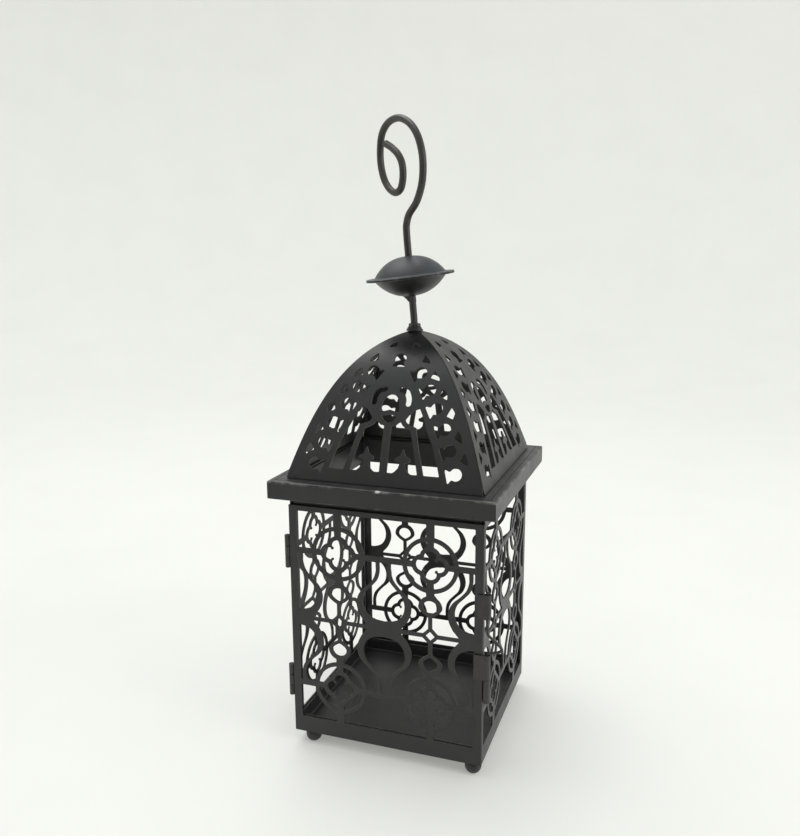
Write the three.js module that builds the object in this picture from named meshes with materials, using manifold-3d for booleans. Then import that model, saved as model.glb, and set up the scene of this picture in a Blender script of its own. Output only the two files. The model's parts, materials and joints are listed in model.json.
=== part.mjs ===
// Moroccan pierced metal lantern with a hinged front door, a drop-pin latch, a curved four-sided roof
// and a wire hanging hook that carries a dished disc.
// Millimetres. +Z is up and the door faces -Y. The origin is on the floor that the feet stand on, under the
// middle of the body.
import * as THREE from 'three';
import { mergeVertices } from 'three/addons/utils/BufferGeometryUtils.js';
import Module from 'manifold-3d';

const wasm = await Module();
wasm.setup();

// ---- Driving dimensions ----
const SHEET = 1.2;                    // thickness of every sheet
const GAP = 0.3;                      // clearance between pieces that touch
const BODY_HALF = 65;                 // half the body's width
const BODY_HALF_DEPTH = 63.5;         // half the body's depth, door included
const BODY_BOTTOM = 8.8;              // underside of the panels above the floor
const DOOR_HEIGHT = 160.2;
const WALL_TOP = 185.4;               // top of the side and back panels, under the roof ledge
const WALL_FRONT = -61.4;             // front edge of the side panels
const FRAME_FRONT = -60.9;            // front of the frame that joins the panels' top edges
const FRAME_DROP = 1.7;               // how far the top frame reaches below the door's top edge
const TRAY_FRONT = -60.2;
const TRAY_FLOOR = 10;                // top of the floor that a candle stands on
const TRAY_LIP = 19.3;                // top of the lip that is folded up all round the floor
const FOOT_RADIUS = 5.5;
const FOOT_FLAT = 1.7;                // radius of the worn flat under each foot
const FEET = [
  ['foot_front_left', -54, -57.5],
  ['foot_front_right', 58.4, -57.5],
  ['foot_back_left', -56.5, 57.5],
  ['foot_back_right', 56.5, 57.5],
];

// Pierced pattern of the door and the three walls, measured from the pattern's middle.
const PATTERN_CENTRE = 83.35;         // height of the pattern's middle above the panel's bottom
// Each panel's solid borders at its left and right (seen from outside), the lower and upper edge of its
// pierced area, and how far the pattern sits off the panel's middle.
const DOOR_PATTERN = { borders: [5.5, 5.5], opening: [-72.2, 73.3], shift: 0 };
const LEFT_PATTERN = { borders: [5.5, 9.2], opening: [-72.2, 73.3], shift: -1.6 };
const RIGHT_PATTERN = { borders: [2.5, 5.5], opening: [-72.2, 73.3], shift: 0 };
const BACK_PATTERN = { borders: [5.5, 5.5], opening: [-70.4, 75.2], shift: -1.6 };
const POST_REACH = 76;                // posts run on into the border
const MOTIF_PITCH = 30.5;             // half the pattern's repeat across the panel
const ROSETTE_X = 31;
const ROSETTE_Z = 46.85;
const RING_OUTER = 18.2;
const RING_INNER = 15.5;
const STAR_OUTER = [12.1, 8.4];       // quatrefoil, from its centre to its lobes and its waists
const STAR_INNER = [9.4, 5.5];
const DROP_Z = 18.8;                  // small round drop under each rosette
const DROP_OUTER = 7.5;
const DROP_INNER = 4.7;
const DIAMOND_OUTER = 6.2;
const DIAMOND_INNER = 3.1;
const RAIL = 3.8;                     // bar across the rosettes
const POST = 5.2;                     // bar from a rosette up to the border
const SPOKE = 4.5;                    // bar from a ring in to its quatrefoil
const STEM = 2.6;

// Roof.
const EAVE_HALF = 74.2;
const EAVE_BOTTOM = 175.1;
const EAVE_TOP = 186.9;
const LEDGE_INNER = 63;
const LEDGE_RISE = 0.2;
const DOME_BASE_HALF = 65.3;
const DOME_BASE_Z = 187.4;
const DOME_SHOULDER = [54.2, 221.5];  // Bezier handles of the roof's curve, as half width and height
const DOME_CROWN = [39.9, 267.6];
const DOME_APEX_Z = 277.8;
const DOME_STEPS = 6;
const MITRE_GAP = 0.2;                // from each ridge's centre line to a panel's edge
const APEX_HOLE = 3.2;
const WEDGE_REACH = 90;               // size of the cutting wedge that makes the mitres
const WEDGE_HEIGHTS = [150, 300];
const KEY_RADIUS = 4;                 // keyhole-shaped holes up each ridge
const KEY_HEAD = 140;                 // degrees of the head's arc on each side of its tip
const KEY_TAIL = [6.4, 4.3];          // length and half width of the flared tail
const COLLAR_FOOT = 5.8;              // radii of the weld under the nut
const COLLAR_WAIST = 4.6;
const COLLAR_TOP = 4.2;
const COLLAR_SLOPE = 0.18;            // slope of the roof's crown under the weld

// Hook wire and what it carries.
const WIRE_RADIUS = 2.4;
const ROD_BOTTOM = 267.8;
const ROD_LEAN_START = 279.3;
const ROD_TOP = [-5.2, 342.2];        // sideways lean and height where the hook's bend begins
const LEAN_TURN = 19.6;               // degrees from +X to the direction that the rod leans in
const HOOK_TURN = -36.4;              // degrees from +X to the plane of the hook
const HOOK = [                        // wire's centre line in the hook's plane, from ROD_TOP
  [0.1, 3.1], [2.7, 9.2], [11.6, 17.4], [17.2, 28], [18.5, 38], [17.2, 47.5], [12.2, 57.9],
  [3.7, 65.8], [-8.6, 70.2], [-21, 68.3], [-28.1, 62.1], [-30.4, 51.6], [-29.3, 41.3],
  [-24.9, 32], [-18.3, 26.1], [-11.8, 24], [-6.3, 26.2], [-3.7, 33.4], [-4.5, 41.3],
  [-8.6, 47.3], [-16.1, 52.4], [-24, 56],
];
const DISC_RADIUS = 29.2;
const DISC_DOME_RADIUS = 23.2;
const DISC_DOME_FOOT = 23.8;          // radius at which the domes would reach the rim's plane
const DISC_UPPER = [12.4, 2.5];       // each dome's rise, and the exponent that flattens its top
const DISC_LOWER = [12, 2.3];
const DISC_FLANK = 0.9;               // exponent that steepens both domes near the rim
const DISC_HEIGHT = 312.5;
const DISC_SHIFT = -2.85;             // the disc's centre on the leaning rod
const DISC_TILT = 6.7;                // degrees
const DISC_SHEET = 0.8;
const DISC_BORE = 3.1;
const NUT_FLATS = 7;
const NUT_HEIGHT = 3.2;
const NUT_TURN = -10.4;               // degrees from +X to the middle of one flat
const NUT_BOTTOM = 278.5;
const WASHER_RADIUS = 6;
const WASHER_BOTTOM = 272.6;          // washer inside the roof's crown

// Hinges, on the door's left edge.
const HINGE_X = -67.2;
const HINGE_Y = -61.9;
const KNUCKLE_RADIUS = 1.9;
const KNUCKLE_BORE = 1.2;
const HINGE_PIN_RADIUS = 0.8;
const HINGE_HEIGHT = 22.2;
const HINGES = [['upper', 125.5], ['lower', 34.2]];
const HINGE_LEAF = [-59, -50];        // front and back edge of the leaf on the left panel
const LEAF = 0.8;                     // thickness of the hinges' and the latch's sheet

// Latch, on the door's right edge.
const LATCH_X = 67.5;
const LATCH_Y = -62.4;
const LOOP_RADIUS = 2.2;
const LOOP_BORE = 1.3;
const LATCH_PIN_RADIUS = 0.9;
const UPPER_LOOP = [109.2, 124.8];    // bottom and top of each rolled loop
const LOWER_LOOP = [68.9, 85.1];
const KEEPER = [53, 68.6];
const UPPER_TAB = 61.5;               // inner edge of the tab that carries each loop
const LOWER_TAB = 59.5;
const KEEPER_TAB = -52;
const LATCH_BEND = [                  // pin's centre line from the latch axis, as X, Y and height
  [0, 0, 69.3], [0, 0, 82], [0.2, 0.1, 85.4], [1.8, 0.5, 86.3], [6.6, 1.9, 87], [8.6, 2.4, 88.6],
  [7, 2, 91.6], [3, 0.9, 95.6], [0.5, 0.2, 98.6], [0, 0, 102], [0, 0, 126.4],
];

// ---- Materials ----
const PAINT = { color: 0x2b2b2c, roughness: 0.46, metalness: 0.55 };
const WIRE_PAINT = { color: 0x302c29, roughness: 0.45, metalness: 0.55 };
const FITTING_PAINT = { color: 0x26262a, roughness: 0.5, metalness: 0.55 };

// ---- Geometry helpers ----
function toSolid(geometry) {
  const bare = geometry.clone();
  bare.deleteAttribute('normal');
  bare.deleteAttribute('uv');
  const merged = mergeVertices(bare, 1e-5);
  return new wasm.Manifold(new wasm.Mesh({
    numProp: 3,
    vertProperties: new Float32Array(merged.attributes.position.array),
    triVerts: new Uint32Array(merged.index.array),
  }));
}

function toGeometry(solid) {
  const mesh = solid.getMesh();
  const geometry = new THREE.BufferGeometry();
  geometry.setAttribute('position', new THREE.BufferAttribute(mesh.vertProperties, 3));
  geometry.setIndex(new THREE.BufferAttribute(mesh.triVerts, 1));
  const flat = geometry.toNonIndexed();
  flat.computeVertexNormals();
  return flat;
}

function joined(solids) {
  return solids.reduce((whole, solid) => whole.add(solid));
}

function cutFrom(solid, cutters) {
  return cutters.reduce((rest, cutter) => rest.subtract(cutter), solid);
}

function shapeOf(points) {
  return new THREE.Shape(points.map(([x, y]) => new THREE.Vector2(x, y)));
}

function arc(x, y, radius, startDegrees, endDegrees, steps) {
  const points = [];
  for (let i = 0; i <= steps; i += 1) {
    const angle = THREE.MathUtils.degToRad(startDegrees + (endDegrees - startDegrees) * i / steps);
    points.push([x + radius * Math.cos(angle), y + radius * Math.sin(angle)]);
  }
  return points;
}

function circle(x, y, radius, sides) {
  const halfStep = 180 / sides;
  return arc(x, y, radius, halfStep, 360 - halfStep, sides - 1);
}

function rectangle(x0, y0, x1, y1) {
  const [left, right] = [Math.min(x0, x1), Math.max(x0, x1)];
  const [low, high] = [Math.min(y0, y1), Math.max(y0, y1)];
  return [[left, low], [right, low], [right, high], [left, high]];
}

function flipped(points, signX, signY) {
  return points.map(([x, y]) => [x * signX, y * signY]);
}

function prism(points, low, high, holes = []) {
  const shape = shapeOf(points);
  holes.forEach((hole) => shape.holes.push(shapeOf(hole)));
  const geometry = new THREE.ExtrudeGeometry(shape, { depth: high - low, bevelEnabled: false });
  return geometry.translate(0, 0, low);
}

// Pieces of a pattern are cut from stock of slightly different thickness, so that no two of their
// faces lie in one plane before the whole pattern is trimmed to the sheet's thickness.
let stockUsed = 0;
function sheetPiece(points) {
  stockUsed = (stockUsed + 1) % 90;
  const spare = 1 + 0.01 * stockUsed;
  return toSolid(prism(points, -spare, SHEET + spare));
}

function sheetCutter(points) {
  return toSolid(prism(points, -3, SHEET + 3));
}

function tube(curve, radius, sides, steps) {
  const section = shapeOf(circle(0, 0, radius, sides));
  return new THREE.ExtrudeGeometry(section, { steps, bevelEnabled: false, extrudePath: curve });
}

function box(x0, x1, y0, y1, z0, z1) {
  return prism(rectangle(x0, y0, x1, y1), z0, z1);
}

// ---- Pierced wall pattern ----
const KEYHOLE_OUTER = [[5.1, 45.2], [5.1, 38], [16.8, 22.4], [18.6, 15.5], [11, 1.2]];
const KEYHOLE_INNER = [[2.6, 44.9], [2.6, 37.8], [13.4, 22.4], [13.8, 13.6], [5.6, 5.8]];

// Onion-shaped hoops above and below the middle, joined at a solid waist.
function keyhole(centreX) {
  const quarter = KEYHOLE_OUTER;
  const below = flipped(quarter, 1, -1).reverse();
  const rightSide = [...quarter, ...below];
  const leftSide = flipped(rightSide, -1, 1).reverse();
  return [...rightSide, ...leftSide].map(([x, y]) => [x + centreX, y]);
}

function keyholeOpening(centreX, side) {
  const left = flipped(KEYHOLE_INNER, -1, 1).reverse();
  return [...KEYHOLE_INNER, ...left].map(([x, y]) => [x + centreX, y * side]);
}

function diamond(x, y, reach) {
  return [[x + reach, y], [x, y + reach], [x - reach, y], [x, y - reach]];
}

// Eight-cornered stand-in for a quatrefoil outline.
function star(x, y, [lobe, waist]) {
  const corner = waist * Math.SQRT1_2;
  const quarter = [[lobe, 0], [corner, corner], [0, lobe], [-corner, corner]];
  return [...quarter, ...flipped(quarter, -1, -1)].map(([px, py]) => [x + px, y + py]);
}

function rosettePieces(x, z) {
  const outward = Math.sign(z);
  const borderZ = outward * POST_REACH;
  const ringHole = sheetCutter(circle(x, z, RING_INNER, 10));
  return [
    sheetPiece(circle(x, z, RING_OUTER, 10)).subtract(ringHole),
    sheetPiece(star(x, z, STAR_OUTER)),
    sheetPiece(rectangle(x - SPOKE / 2, z - RING_INNER - 1, x + SPOKE / 2, z + RING_INNER + 1)),
    sheetPiece(rectangle(x - POST / 2, z + outward * (RING_INNER + 1), x + POST / 2, borderZ)),
    sheetPiece(rectangle(x - POST / 2, z - outward * (RING_INNER + 1), x + POST / 2,
      outward * (DROP_Z + DROP_INNER + 1))),
    sheetPiece(circle(x, outward * DROP_Z, DROP_OUTER, 8)),
    sheetPiece(rectangle(x - STEM / 2, 0, x + STEM / 2, outward * (DROP_Z - DROP_INNER - 1))),
  ];
}

function rosetteCutters(x, z) {
  const outward = Math.sign(z);
  return [
    sheetCutter(star(x, z, STAR_INNER)),
    sheetCutter(circle(x, outward * DROP_Z, DROP_INNER, 6)),
  ];
}

// One pierced sheet, lying in X and Y with its underside at z = 0. Its bottom edge is at y = 0.
function piercedSheet(width, height, { borders, opening, shift }) {
  const [left, right] = [-width / 2 + borders[0], width / 2 - borders[1]];
  const [low, high] = opening;
  const [bottom, top] = [-PATTERN_CENTRE, height - PATTERN_CENTRE];
  const spare = 2;
  const over = width / 2 + spare;
  const frame = sheetPiece(rectangle(-over, bottom - spare, over, top + spare))
    .subtract(sheetCutter(rectangle(left, low, right, high)));
  const solids = [frame];
  const cutters = [];
  for (const side of [-1, 1]) {
    const railZ = side * (ROSETTE_Z - 0.15);
    solids.push(sheetPiece(rectangle(-over, railZ - RAIL / 2, over, railZ + RAIL / 2)));
  }
  solids.push(sheetPiece(rectangle(-over, -STEM / 2, over, STEM / 2)));
  for (const x of [-2 * MOTIF_PITCH, 0, 2 * MOTIF_PITCH]) {
    solids.push(sheetPiece(keyhole(x + shift)));
    const openings = [keyholeOpening(x + shift, 1), keyholeOpening(x + shift, -1)];
    cutters.push(...openings.map((hole) => sheetCutter(hole)));
  }
  for (const x of [shift - ROSETTE_X, shift + ROSETTE_X]) {
    solids.push(sheetPiece(diamond(x, 0, DIAMOND_OUTER)));
    cutters.push(sheetCutter(diamond(x, 0, DIAMOND_INNER)));
    for (const z of [-ROSETTE_Z, ROSETTE_Z]) {
      solids.push(...rosettePieces(x, z));
      cutters.push(...rosetteCutters(x, z));
    }
  }
  const stiles = [
    sheetPiece(rectangle(-over, bottom - spare, left, top + spare)),
    sheetPiece(rectangle(right, bottom - spare, over, top + spare)),
  ];
  const lattice = joined([cutFrom(joined(solids), cutters), ...stiles]);
  const blank = toSolid(prism(rectangle(-width / 2, bottom, width / 2, top), 0, SHEET));
  return toGeometry(lattice.intersect(blank)).translate(0, PATTERN_CENTRE, 0);
}

// Stands a sheet up with its outer face towards -Y, its middle at x = 0 and its bottom at z = 0.
function stoodUp(geometry) {
  return geometry.rotateX(Math.PI / 2);
}

// ---- Roof ----
const domeCurve = new THREE.CubicBezierCurve(
  new THREE.Vector2(DOME_BASE_HALF, DOME_BASE_Z),
  new THREE.Vector2(...DOME_SHOULDER),
  new THREE.Vector2(...DOME_CROWN),
  new THREE.Vector2(0, DOME_APEX_Z),
);

// Quarter of the plan between two ridges, as a tall wedge that faces -Y.
function quarterWedge() {
  const foot = -WEDGE_REACH - MITRE_GAP;
  return toSolid(prism([[0, -MITRE_GAP], [-WEDGE_REACH, foot], [WEDGE_REACH, foot]], ...WEDGE_HEIGHTS));
}

// Extrudes a profile of half widths and heights along X, with the half width pointing to -Y.
function alongSide(profile, reach) {
  const turn = new THREE.Matrix4().set(
    0, 0, -1, 0,
    -1, 0, 0, 0,
    0, 1, 0, 0,
    0, 0, 0, 1,
  );
  return toSolid(prism(profile, -reach, reach).applyMatrix4(turn));
}

function domeBand() {
  const outer = domeCurve.getPoints(DOME_STEPS).map((p) => [p.x, p.y]);
  const inner = outer.map((p, i) => {
    const slope = domeCurve.getTangent(i / DOME_STEPS);
    return [p[0] - SHEET * slope.y, p[1] + SHEET * slope.x];
  });
  inner[DOME_STEPS][0] = 0;
  inner[0][1] = DOME_BASE_Z;
  return alongSide([...outer, ...inner.reverse()], DOME_BASE_HALF + 1);
}

// A cutter through the roof sheet. The outline is given across the panel and up along its curve.
function domeCutter(points) {
  const heights = points.map((p) => p[1]);
  const middle = (Math.min(...heights) + Math.max(...heights)) / 2;
  const along = middle / domeCurve.getLength();
  const centre = domeCurve.getPointAt(along);
  const slope = domeCurve.getTangentAt(along);
  const reach = 7;
  const cutter = prism(points.map(([x, y]) => [x, y - middle]), -reach, reach);
  const across = new THREE.Vector3(1, 0, 0);
  const up = new THREE.Vector3(0, -slope.x, slope.y);
  const outward = new THREE.Vector3().crossVectors(across, up);
  const turn = new THREE.Matrix4().makeBasis(across, up, outward).setPosition(0, -centre.x, centre.y);
  return toSolid(cutter.applyMatrix4(turn));
}

// Round hole with a flared tail. The tail points along tailDegrees.
function keyShape(x, y, tailDegrees) {
  const [reach, half] = KEY_TAIL;
  const head = arc(0, 0, KEY_RADIUS, -KEY_HEAD, KEY_HEAD, 5);
  const tail = [[-reach, half], [-reach, -half]];
  const turn = THREE.MathUtils.degToRad(tailDegrees - 180);
  return [...head, ...tail].map(([px, py]) => [
    x + px * Math.cos(turn) - py * Math.sin(turn),
    y + px * Math.sin(turn) + py * Math.cos(turn),
  ]);
}

const ROOF_KEYS = [                   // each key's place, and its tail's direction in degrees
  [46.4, 11, 196], [41.7, 24.8, 201], [36.8, 37.8, 201],
  [30, 50.6, 208], [23.8, 62.5, 208], [16, 74, 210],
];
const ROOF_THORNS = [                 // three-cornered holes along each ridge
  [[50.8, 24.3], [53.6, 16.2], [47.7, 19.4]],
  [[45.5, 37.8], [48.6, 30], [42.9, 32.9]],
  [[39.5, 52], [42.5, 44], [36.7, 46.2]],
  [[32.6, 64], [36.1, 56.3], [30.2, 59.2]],
  [[24.7, 75.8], [29.2, 68.8], [22.5, 70.8]],
  [[15.9, 88], [20.6, 81], [14.6, 82.2]],
  [[6.2, 99.4], [10.9, 93.6], [5.2, 94.3]],
];
const ROOF_INNER_ARCH = [             // with a finial that rises into it from the bottom
  [2.5, 8.8], [8.6, 9.2], [10.5, 15.4], [7, 17.6], [10.6, 20.2], [12, 24.2], [13.4, 20.2], [17, 17.6],
  [13.5, 15.4], [15.6, 9.2], [22.2, 9], [15, 36.2], [8.4, 40.8], [2.5, 37.6],
];
const ROOF_OUTER_ARCH = [
  [26, 9], [35.9, 9], [25.2, 38], [22.6, 45], [19, 50], [10.9, 42.3], [18.6, 37.5],
];
const ROOF_CRESCENT = [
  [4.6, 60.4], [8.4, 58.6], [9.4, 51.4], [13.2, 51.4], [12.6, 58], [8.8, 62.4], [5, 63.3],
];
const ROOF_RING_UPPER = [[-5.8, 48.2], [5.8, 48.2], [4.9, 55], [2, 58], [-2, 58], [-4.9, 55]];
const ROOF_RING_LOWER = [[-5.2, 45], [-3, 40.4], [3, 40.4], [5.2, 45]];

function domePanel() {
  const cutters = [
    domeCutter(ROOF_RING_UPPER),
    domeCutter(ROOF_RING_LOWER),
    domeCutter(keyShape(0, 84.3, 270)),
  ];
  for (const side of [-1, 1]) {
    const paired = [
      ...ROOF_KEYS.map(([x, y, turn]) => keyShape(x, y, turn)),
      ...ROOF_THORNS,
      ROOF_INNER_ARCH,
      ROOF_OUTER_ARCH,
      ROOF_CRESCENT,
    ];
    cutters.push(...paired.map((points) => domeCutter(flipped(points, side, 1))));
  }
  const rodHole = toSolid(prism(circle(0, 0, APEX_HOLE, 12), ...WEDGE_HEIGHTS));
  return toGeometry(cutFrom(domeBand().intersect(quarterWedge()), [...cutters, rodHole]));
}

// Skirt and ledge along one side, mitred at both ends.
function eaveStrip() {
  const underside = EAVE_TOP - SHEET;
  const profile = [
    [EAVE_HALF, EAVE_BOTTOM],
    [EAVE_HALF, EAVE_TOP],
    [LEDGE_INNER, EAVE_TOP + LEDGE_RISE],
    [LEDGE_INNER, underside + LEDGE_RISE],
    [EAVE_HALF - SHEET, underside],
    [EAVE_HALF - SHEET, EAVE_BOTTOM],
  ];
  return toGeometry(alongSide(profile, EAVE_HALF).intersect(quarterWedge()));
}

// ---- Base and frame ----
// Shallow pan, open at the top.
function baseTray() {
  const x = BODY_HALF - SHEET - GAP;
  const y = BODY_HALF_DEPTH - SHEET - GAP;
  const block = toSolid(box(-x, x, TRAY_FRONT, y, BODY_BOTTOM, TRAY_LIP));
  const hollow = box(-x + SHEET, x - SHEET, TRAY_FRONT + SHEET, y - SHEET, TRAY_FLOOR, TRAY_LIP + 1);
  return toGeometry(block.subtract(toSolid(hollow)));
}

function topFrame() {
  const x = BODY_HALF - SHEET - GAP;
  const y = BODY_HALF_DEPTH - SHEET - GAP;
  const bottom = BODY_BOTTOM + DOOR_HEIGHT - FRAME_DROP;
  const inner = rectangle(-x + SHEET, FRAME_FRONT + SHEET, x - SHEET, y - SHEET);
  return prism(rectangle(-x, FRAME_FRONT, x, y), bottom, WALL_TOP, [inner]);
}

// Ball with a small worn flat below and a larger flat above, where it is welded to the tray.
function ballFoot() {
  const top = BODY_BOTTOM - GAP - FOOT_RADIUS;
  const lowAngle = Math.asin(FOOT_FLAT / FOOT_RADIUS);
  const highAngle = Math.acos(-top / FOOT_RADIUS);
  const steps = 5;
  const profile = [];
  for (let i = 0; i <= steps; i += 1) {
    const angle = lowAngle + (highAngle - lowAngle) * i / steps;
    profile.push(new THREE.Vector2(FOOT_RADIUS * Math.sin(angle), -FOOT_RADIUS * Math.cos(angle)));
  }
  const low = profile[0].y;
  const points = [new THREE.Vector2(0, low), ...profile, new THREE.Vector2(0, profile[steps].y)];
  return new THREE.LatheGeometry(points, 12).rotateX(Math.PI / 2).translate(0, 0, -low);
}

// ---- Hook, disc and nuts ----
function turned(distance, degrees) {
  const angle = THREE.MathUtils.degToRad(degrees);
  return [distance * Math.cos(angle), distance * Math.sin(angle)];
}

function hookRod() {
  const rodTop = turned(ROD_TOP[0], LEAN_TURN);
  const points = [
    new THREE.Vector3(0, 0, ROD_BOTTOM),
    new THREE.Vector3(0, 0, ROD_LEAN_START - 4),
    new THREE.Vector3(rodTop[0] * 0.05, rodTop[1] * 0.05, ROD_LEAN_START + 3),
    new THREE.Vector3(rodTop[0] * 0.5, rodTop[1] * 0.5, (ROD_LEAN_START + ROD_TOP[1]) / 2),
    new THREE.Vector3(rodTop[0], rodTop[1], ROD_TOP[1]),
  ];
  for (const [along, up] of HOOK) {
    const [x, y] = turned(along, HOOK_TURN);
    points.push(new THREE.Vector3(rodTop[0] + x, rodTop[1] + y, ROD_TOP[1] + up));
  }
  const curve = new THREE.CatmullRomCurve3(points, false, 'centripetal');
  return tube(curve, WIRE_RADIUS, 7, 60);
}

// One dished shell with a flat rim. The dome rises from the rim to the hole that the rod passes through.
function discShell([rise, flatness]) {
  const rim = GAP / 2;
  const outer = [];
  const inner = [];
  const steps = 4;
  for (let i = 0; i <= steps; i += 1) {
    const radius = DISC_BORE + (DISC_DOME_RADIUS - DISC_BORE) * i / steps;
    const height = rise * (1 - (radius / DISC_DOME_FOOT) ** flatness) ** DISC_FLANK;
    outer.push(new THREE.Vector2(radius, rim + DISC_SHEET + height));
    inner.push(new THREE.Vector2(radius, rim + Math.max(height - DISC_SHEET / 2, 0)));
  }
  inner[steps].y = rim;
  const edge = [new THREE.Vector2(DISC_RADIUS, rim + DISC_SHEET), new THREE.Vector2(DISC_RADIUS, rim)];
  const profile = [outer[0].clone(), ...inner, ...edge.reverse(), ...outer.reverse()];
  return new THREE.LatheGeometry(profile, 18).rotateX(Math.PI / 2);
}

function hexNut() {
  const corner = NUT_FLATS / Math.sqrt(3);
  const nut = prism(circle(0, 0, corner, 6), 0, NUT_HEIGHT, [circle(0, 0, WIRE_RADIUS + GAP, 10)]);
  return nut.rotateZ(THREE.MathUtils.degToRad(NUT_TURN));
}

// Flared ring of weld between the nut and the roof's crown.
function apexCollar() {
  const bore = WIRE_RADIUS + GAP;
  const base = DOME_APEX_Z + GAP;
  const top = NUT_BOTTOM - GAP;
  const boreBase = base - COLLAR_SLOPE * bore;
  const footBase = base - COLLAR_SLOPE * COLLAR_FOOT;
  const profile = [
    [bore, boreBase], [COLLAR_FOOT, footBase], [COLLAR_WAIST, top - GAP],
    [COLLAR_TOP, top], [bore, top], [bore, boreBase],
  ].map(([x, y]) => new THREE.Vector2(x, y));
  return new THREE.LatheGeometry(profile, 14).rotateX(Math.PI / 2);
}

function washer() {
  return prism(circle(0, 0, WASHER_RADIUS, 16), 0, SHEET, [circle(0, 0, WIRE_RADIUS + GAP, 10)]);
}

// ---- Hinges ----
// Two knuckles on a leaf that is welded to the outside of the left wall.
function hingeBodyLeaf() {
  const knuckle = (HINGE_HEIGHT - 2 * GAP) / 3;
  const face = -BODY_HALF - GAP;
  const bore = toSolid(prism(circle(HINGE_X, HINGE_Y, KNUCKLE_BORE, 8), -1, HINGE_HEIGHT + 1));
  const [leafFront, leafBack] = HINGE_LEAF;
  const solids = [toSolid(box(face - LEAF, face, leafFront, leafBack, 0, HINGE_HEIGHT))];
  for (const low of [0, HINGE_HEIGHT - knuckle]) {
    solids.push(toSolid(prism(circle(HINGE_X, HINGE_Y, KNUCKLE_RADIUS, 10), low, low + knuckle)));
    solids.push(toSolid(box(face - LEAF, face, HINGE_Y, leafFront + 1, low, low + knuckle)));
  }
  return toGeometry(joined(solids).subtract(bore));
}

// The middle knuckle, with a short web welded to the door's edge.
function hingeDoorKnuckle() {
  const knuckle = (HINGE_HEIGHT - 2 * GAP) / 3 - 0.2;
  const low = (HINGE_HEIGHT - knuckle) / 2;
  const bore = toSolid(prism(circle(HINGE_X, HINGE_Y, KNUCKLE_BORE, 8), -1, HINGE_HEIGHT + 1));
  const barrel = toSolid(prism(circle(HINGE_X, HINGE_Y, KNUCKLE_RADIUS, 10), low, low + knuckle));
  const front = -BODY_HALF_DEPTH;
  const web = toSolid(box(HINGE_X, -BODY_HALF - GAP, front, front + SHEET, low, low + knuckle));
  return toGeometry(barrel.add(web).subtract(bore));
}

function hingePin() {
  return prism(circle(HINGE_X, HINGE_Y, HINGE_PIN_RADIUS, 8), -GAP, HINGE_HEIGHT + GAP);
}

// ---- Latch ----
// Flat tab on the front of the door's right stile, rolled into a loop beyond the door's edge.
function latchLoop([low, high], innerX) {
  const front = LATCH_Y - LOOP_RADIUS;
  const bore = toSolid(prism(circle(LATCH_X, LATCH_Y, LOOP_BORE, 8), low - 1, high + 1));
  const barrel = toSolid(prism(circle(LATCH_X, LATCH_Y, LOOP_RADIUS, 10), low, high));
  const tab = toSolid(box(innerX, LATCH_X, front, front + LEAF, low, high));
  return toGeometry(barrel.add(tab).subtract(bore));
}

// Loop on the outside of the right wall that the pin drops into.
function latchKeeper() {
  const [low, high] = KEEPER;
  const face = BODY_HALF + GAP;
  const bore = toSolid(prism(circle(LATCH_X, LATCH_Y, LOOP_BORE, 8), low - 1, high + 1));
  const barrel = toSolid(prism(circle(LATCH_X, LATCH_Y, LOOP_RADIUS, 10), low, high));
  const leaf = toSolid(box(face, face + LEAF, LATCH_Y, KEEPER_TAB, low, high));
  return toGeometry(barrel.add(leaf).subtract(bore));
}

function latchPin() {
  const points = LATCH_BEND.map(([x, y, z]) => new THREE.Vector3(LATCH_X + x, LATCH_Y + y, z));
  const curve = new THREE.CatmullRomCurve3(points, false, 'centripetal');
  return tube(curve, LATCH_PIN_RADIUS, 6, 34);
}

// ---- Assembly ----
const lantern = new THREE.Group();

function place(name, geometry, finish, x = 0, y = 0, z = 0, parent = lantern) {
  const mesh = new THREE.Mesh(geometry, new THREE.MeshStandardMaterial(finish));
  mesh.name = name;
  mesh.position.set(x, y, z);
  parent.add(mesh);
  return mesh;
}

place('base_tray', baseTray(), PAINT);
for (const [name, x, y] of FEET) {
  place(name, ballFoot(), PAINT, x, y, 0);
}

const wallHeight = WALL_TOP - BODY_BOTTOM;
const sideDepth = BODY_HALF_DEPTH - WALL_FRONT;
const sideMiddle = (BODY_HALF_DEPTH + WALL_FRONT) / 2;
const left = place('left_wall', stoodUp(piercedSheet(sideDepth, wallHeight, LEFT_PATTERN)), PAINT);
left.rotation.z = -Math.PI / 2;
left.position.set(-BODY_HALF + SHEET, sideMiddle, BODY_BOTTOM);
const right = place('right_wall', stoodUp(piercedSheet(sideDepth, wallHeight, RIGHT_PATTERN)), PAINT);
right.rotation.z = Math.PI / 2;
right.position.set(BODY_HALF - SHEET, sideMiddle, BODY_BOTTOM);
const backWidth = 2 * (BODY_HALF - SHEET - GAP);
const back = place('back_wall', stoodUp(piercedSheet(backWidth, wallHeight, BACK_PATTERN)), PAINT);
back.rotation.z = Math.PI;
back.position.set(0, BODY_HALF_DEPTH - SHEET, BODY_BOTTOM);
place('top_frame', topFrame(), PAINT);

const sides = ['front', 'right', 'back', 'left'];
sides.forEach((side, i) => {
  const quarter = new THREE.Group();
  quarter.rotation.z = i * Math.PI / 2;
  place(`eave_${side}`, eaveStrip(), PAINT, 0, 0, 0, quarter);
  place(`roof_${side}`, domePanel(), PAINT, 0, 0, 0, quarter);
  lantern.add(quarter);
});

place('apex_collar', apexCollar(), PAINT);
place('hook_nut', hexNut(), FITTING_PAINT, 0, 0, NUT_BOTTOM);
place('inner_washer', washer(), FITTING_PAINT, 0, 0, WASHER_BOTTOM);
place('inner_nut', hexNut(), FITTING_PAINT, 0, 0, WASHER_BOTTOM - GAP - NUT_HEIGHT);
place('hook_rod', hookRod(), WIRE_PAINT);

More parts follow.
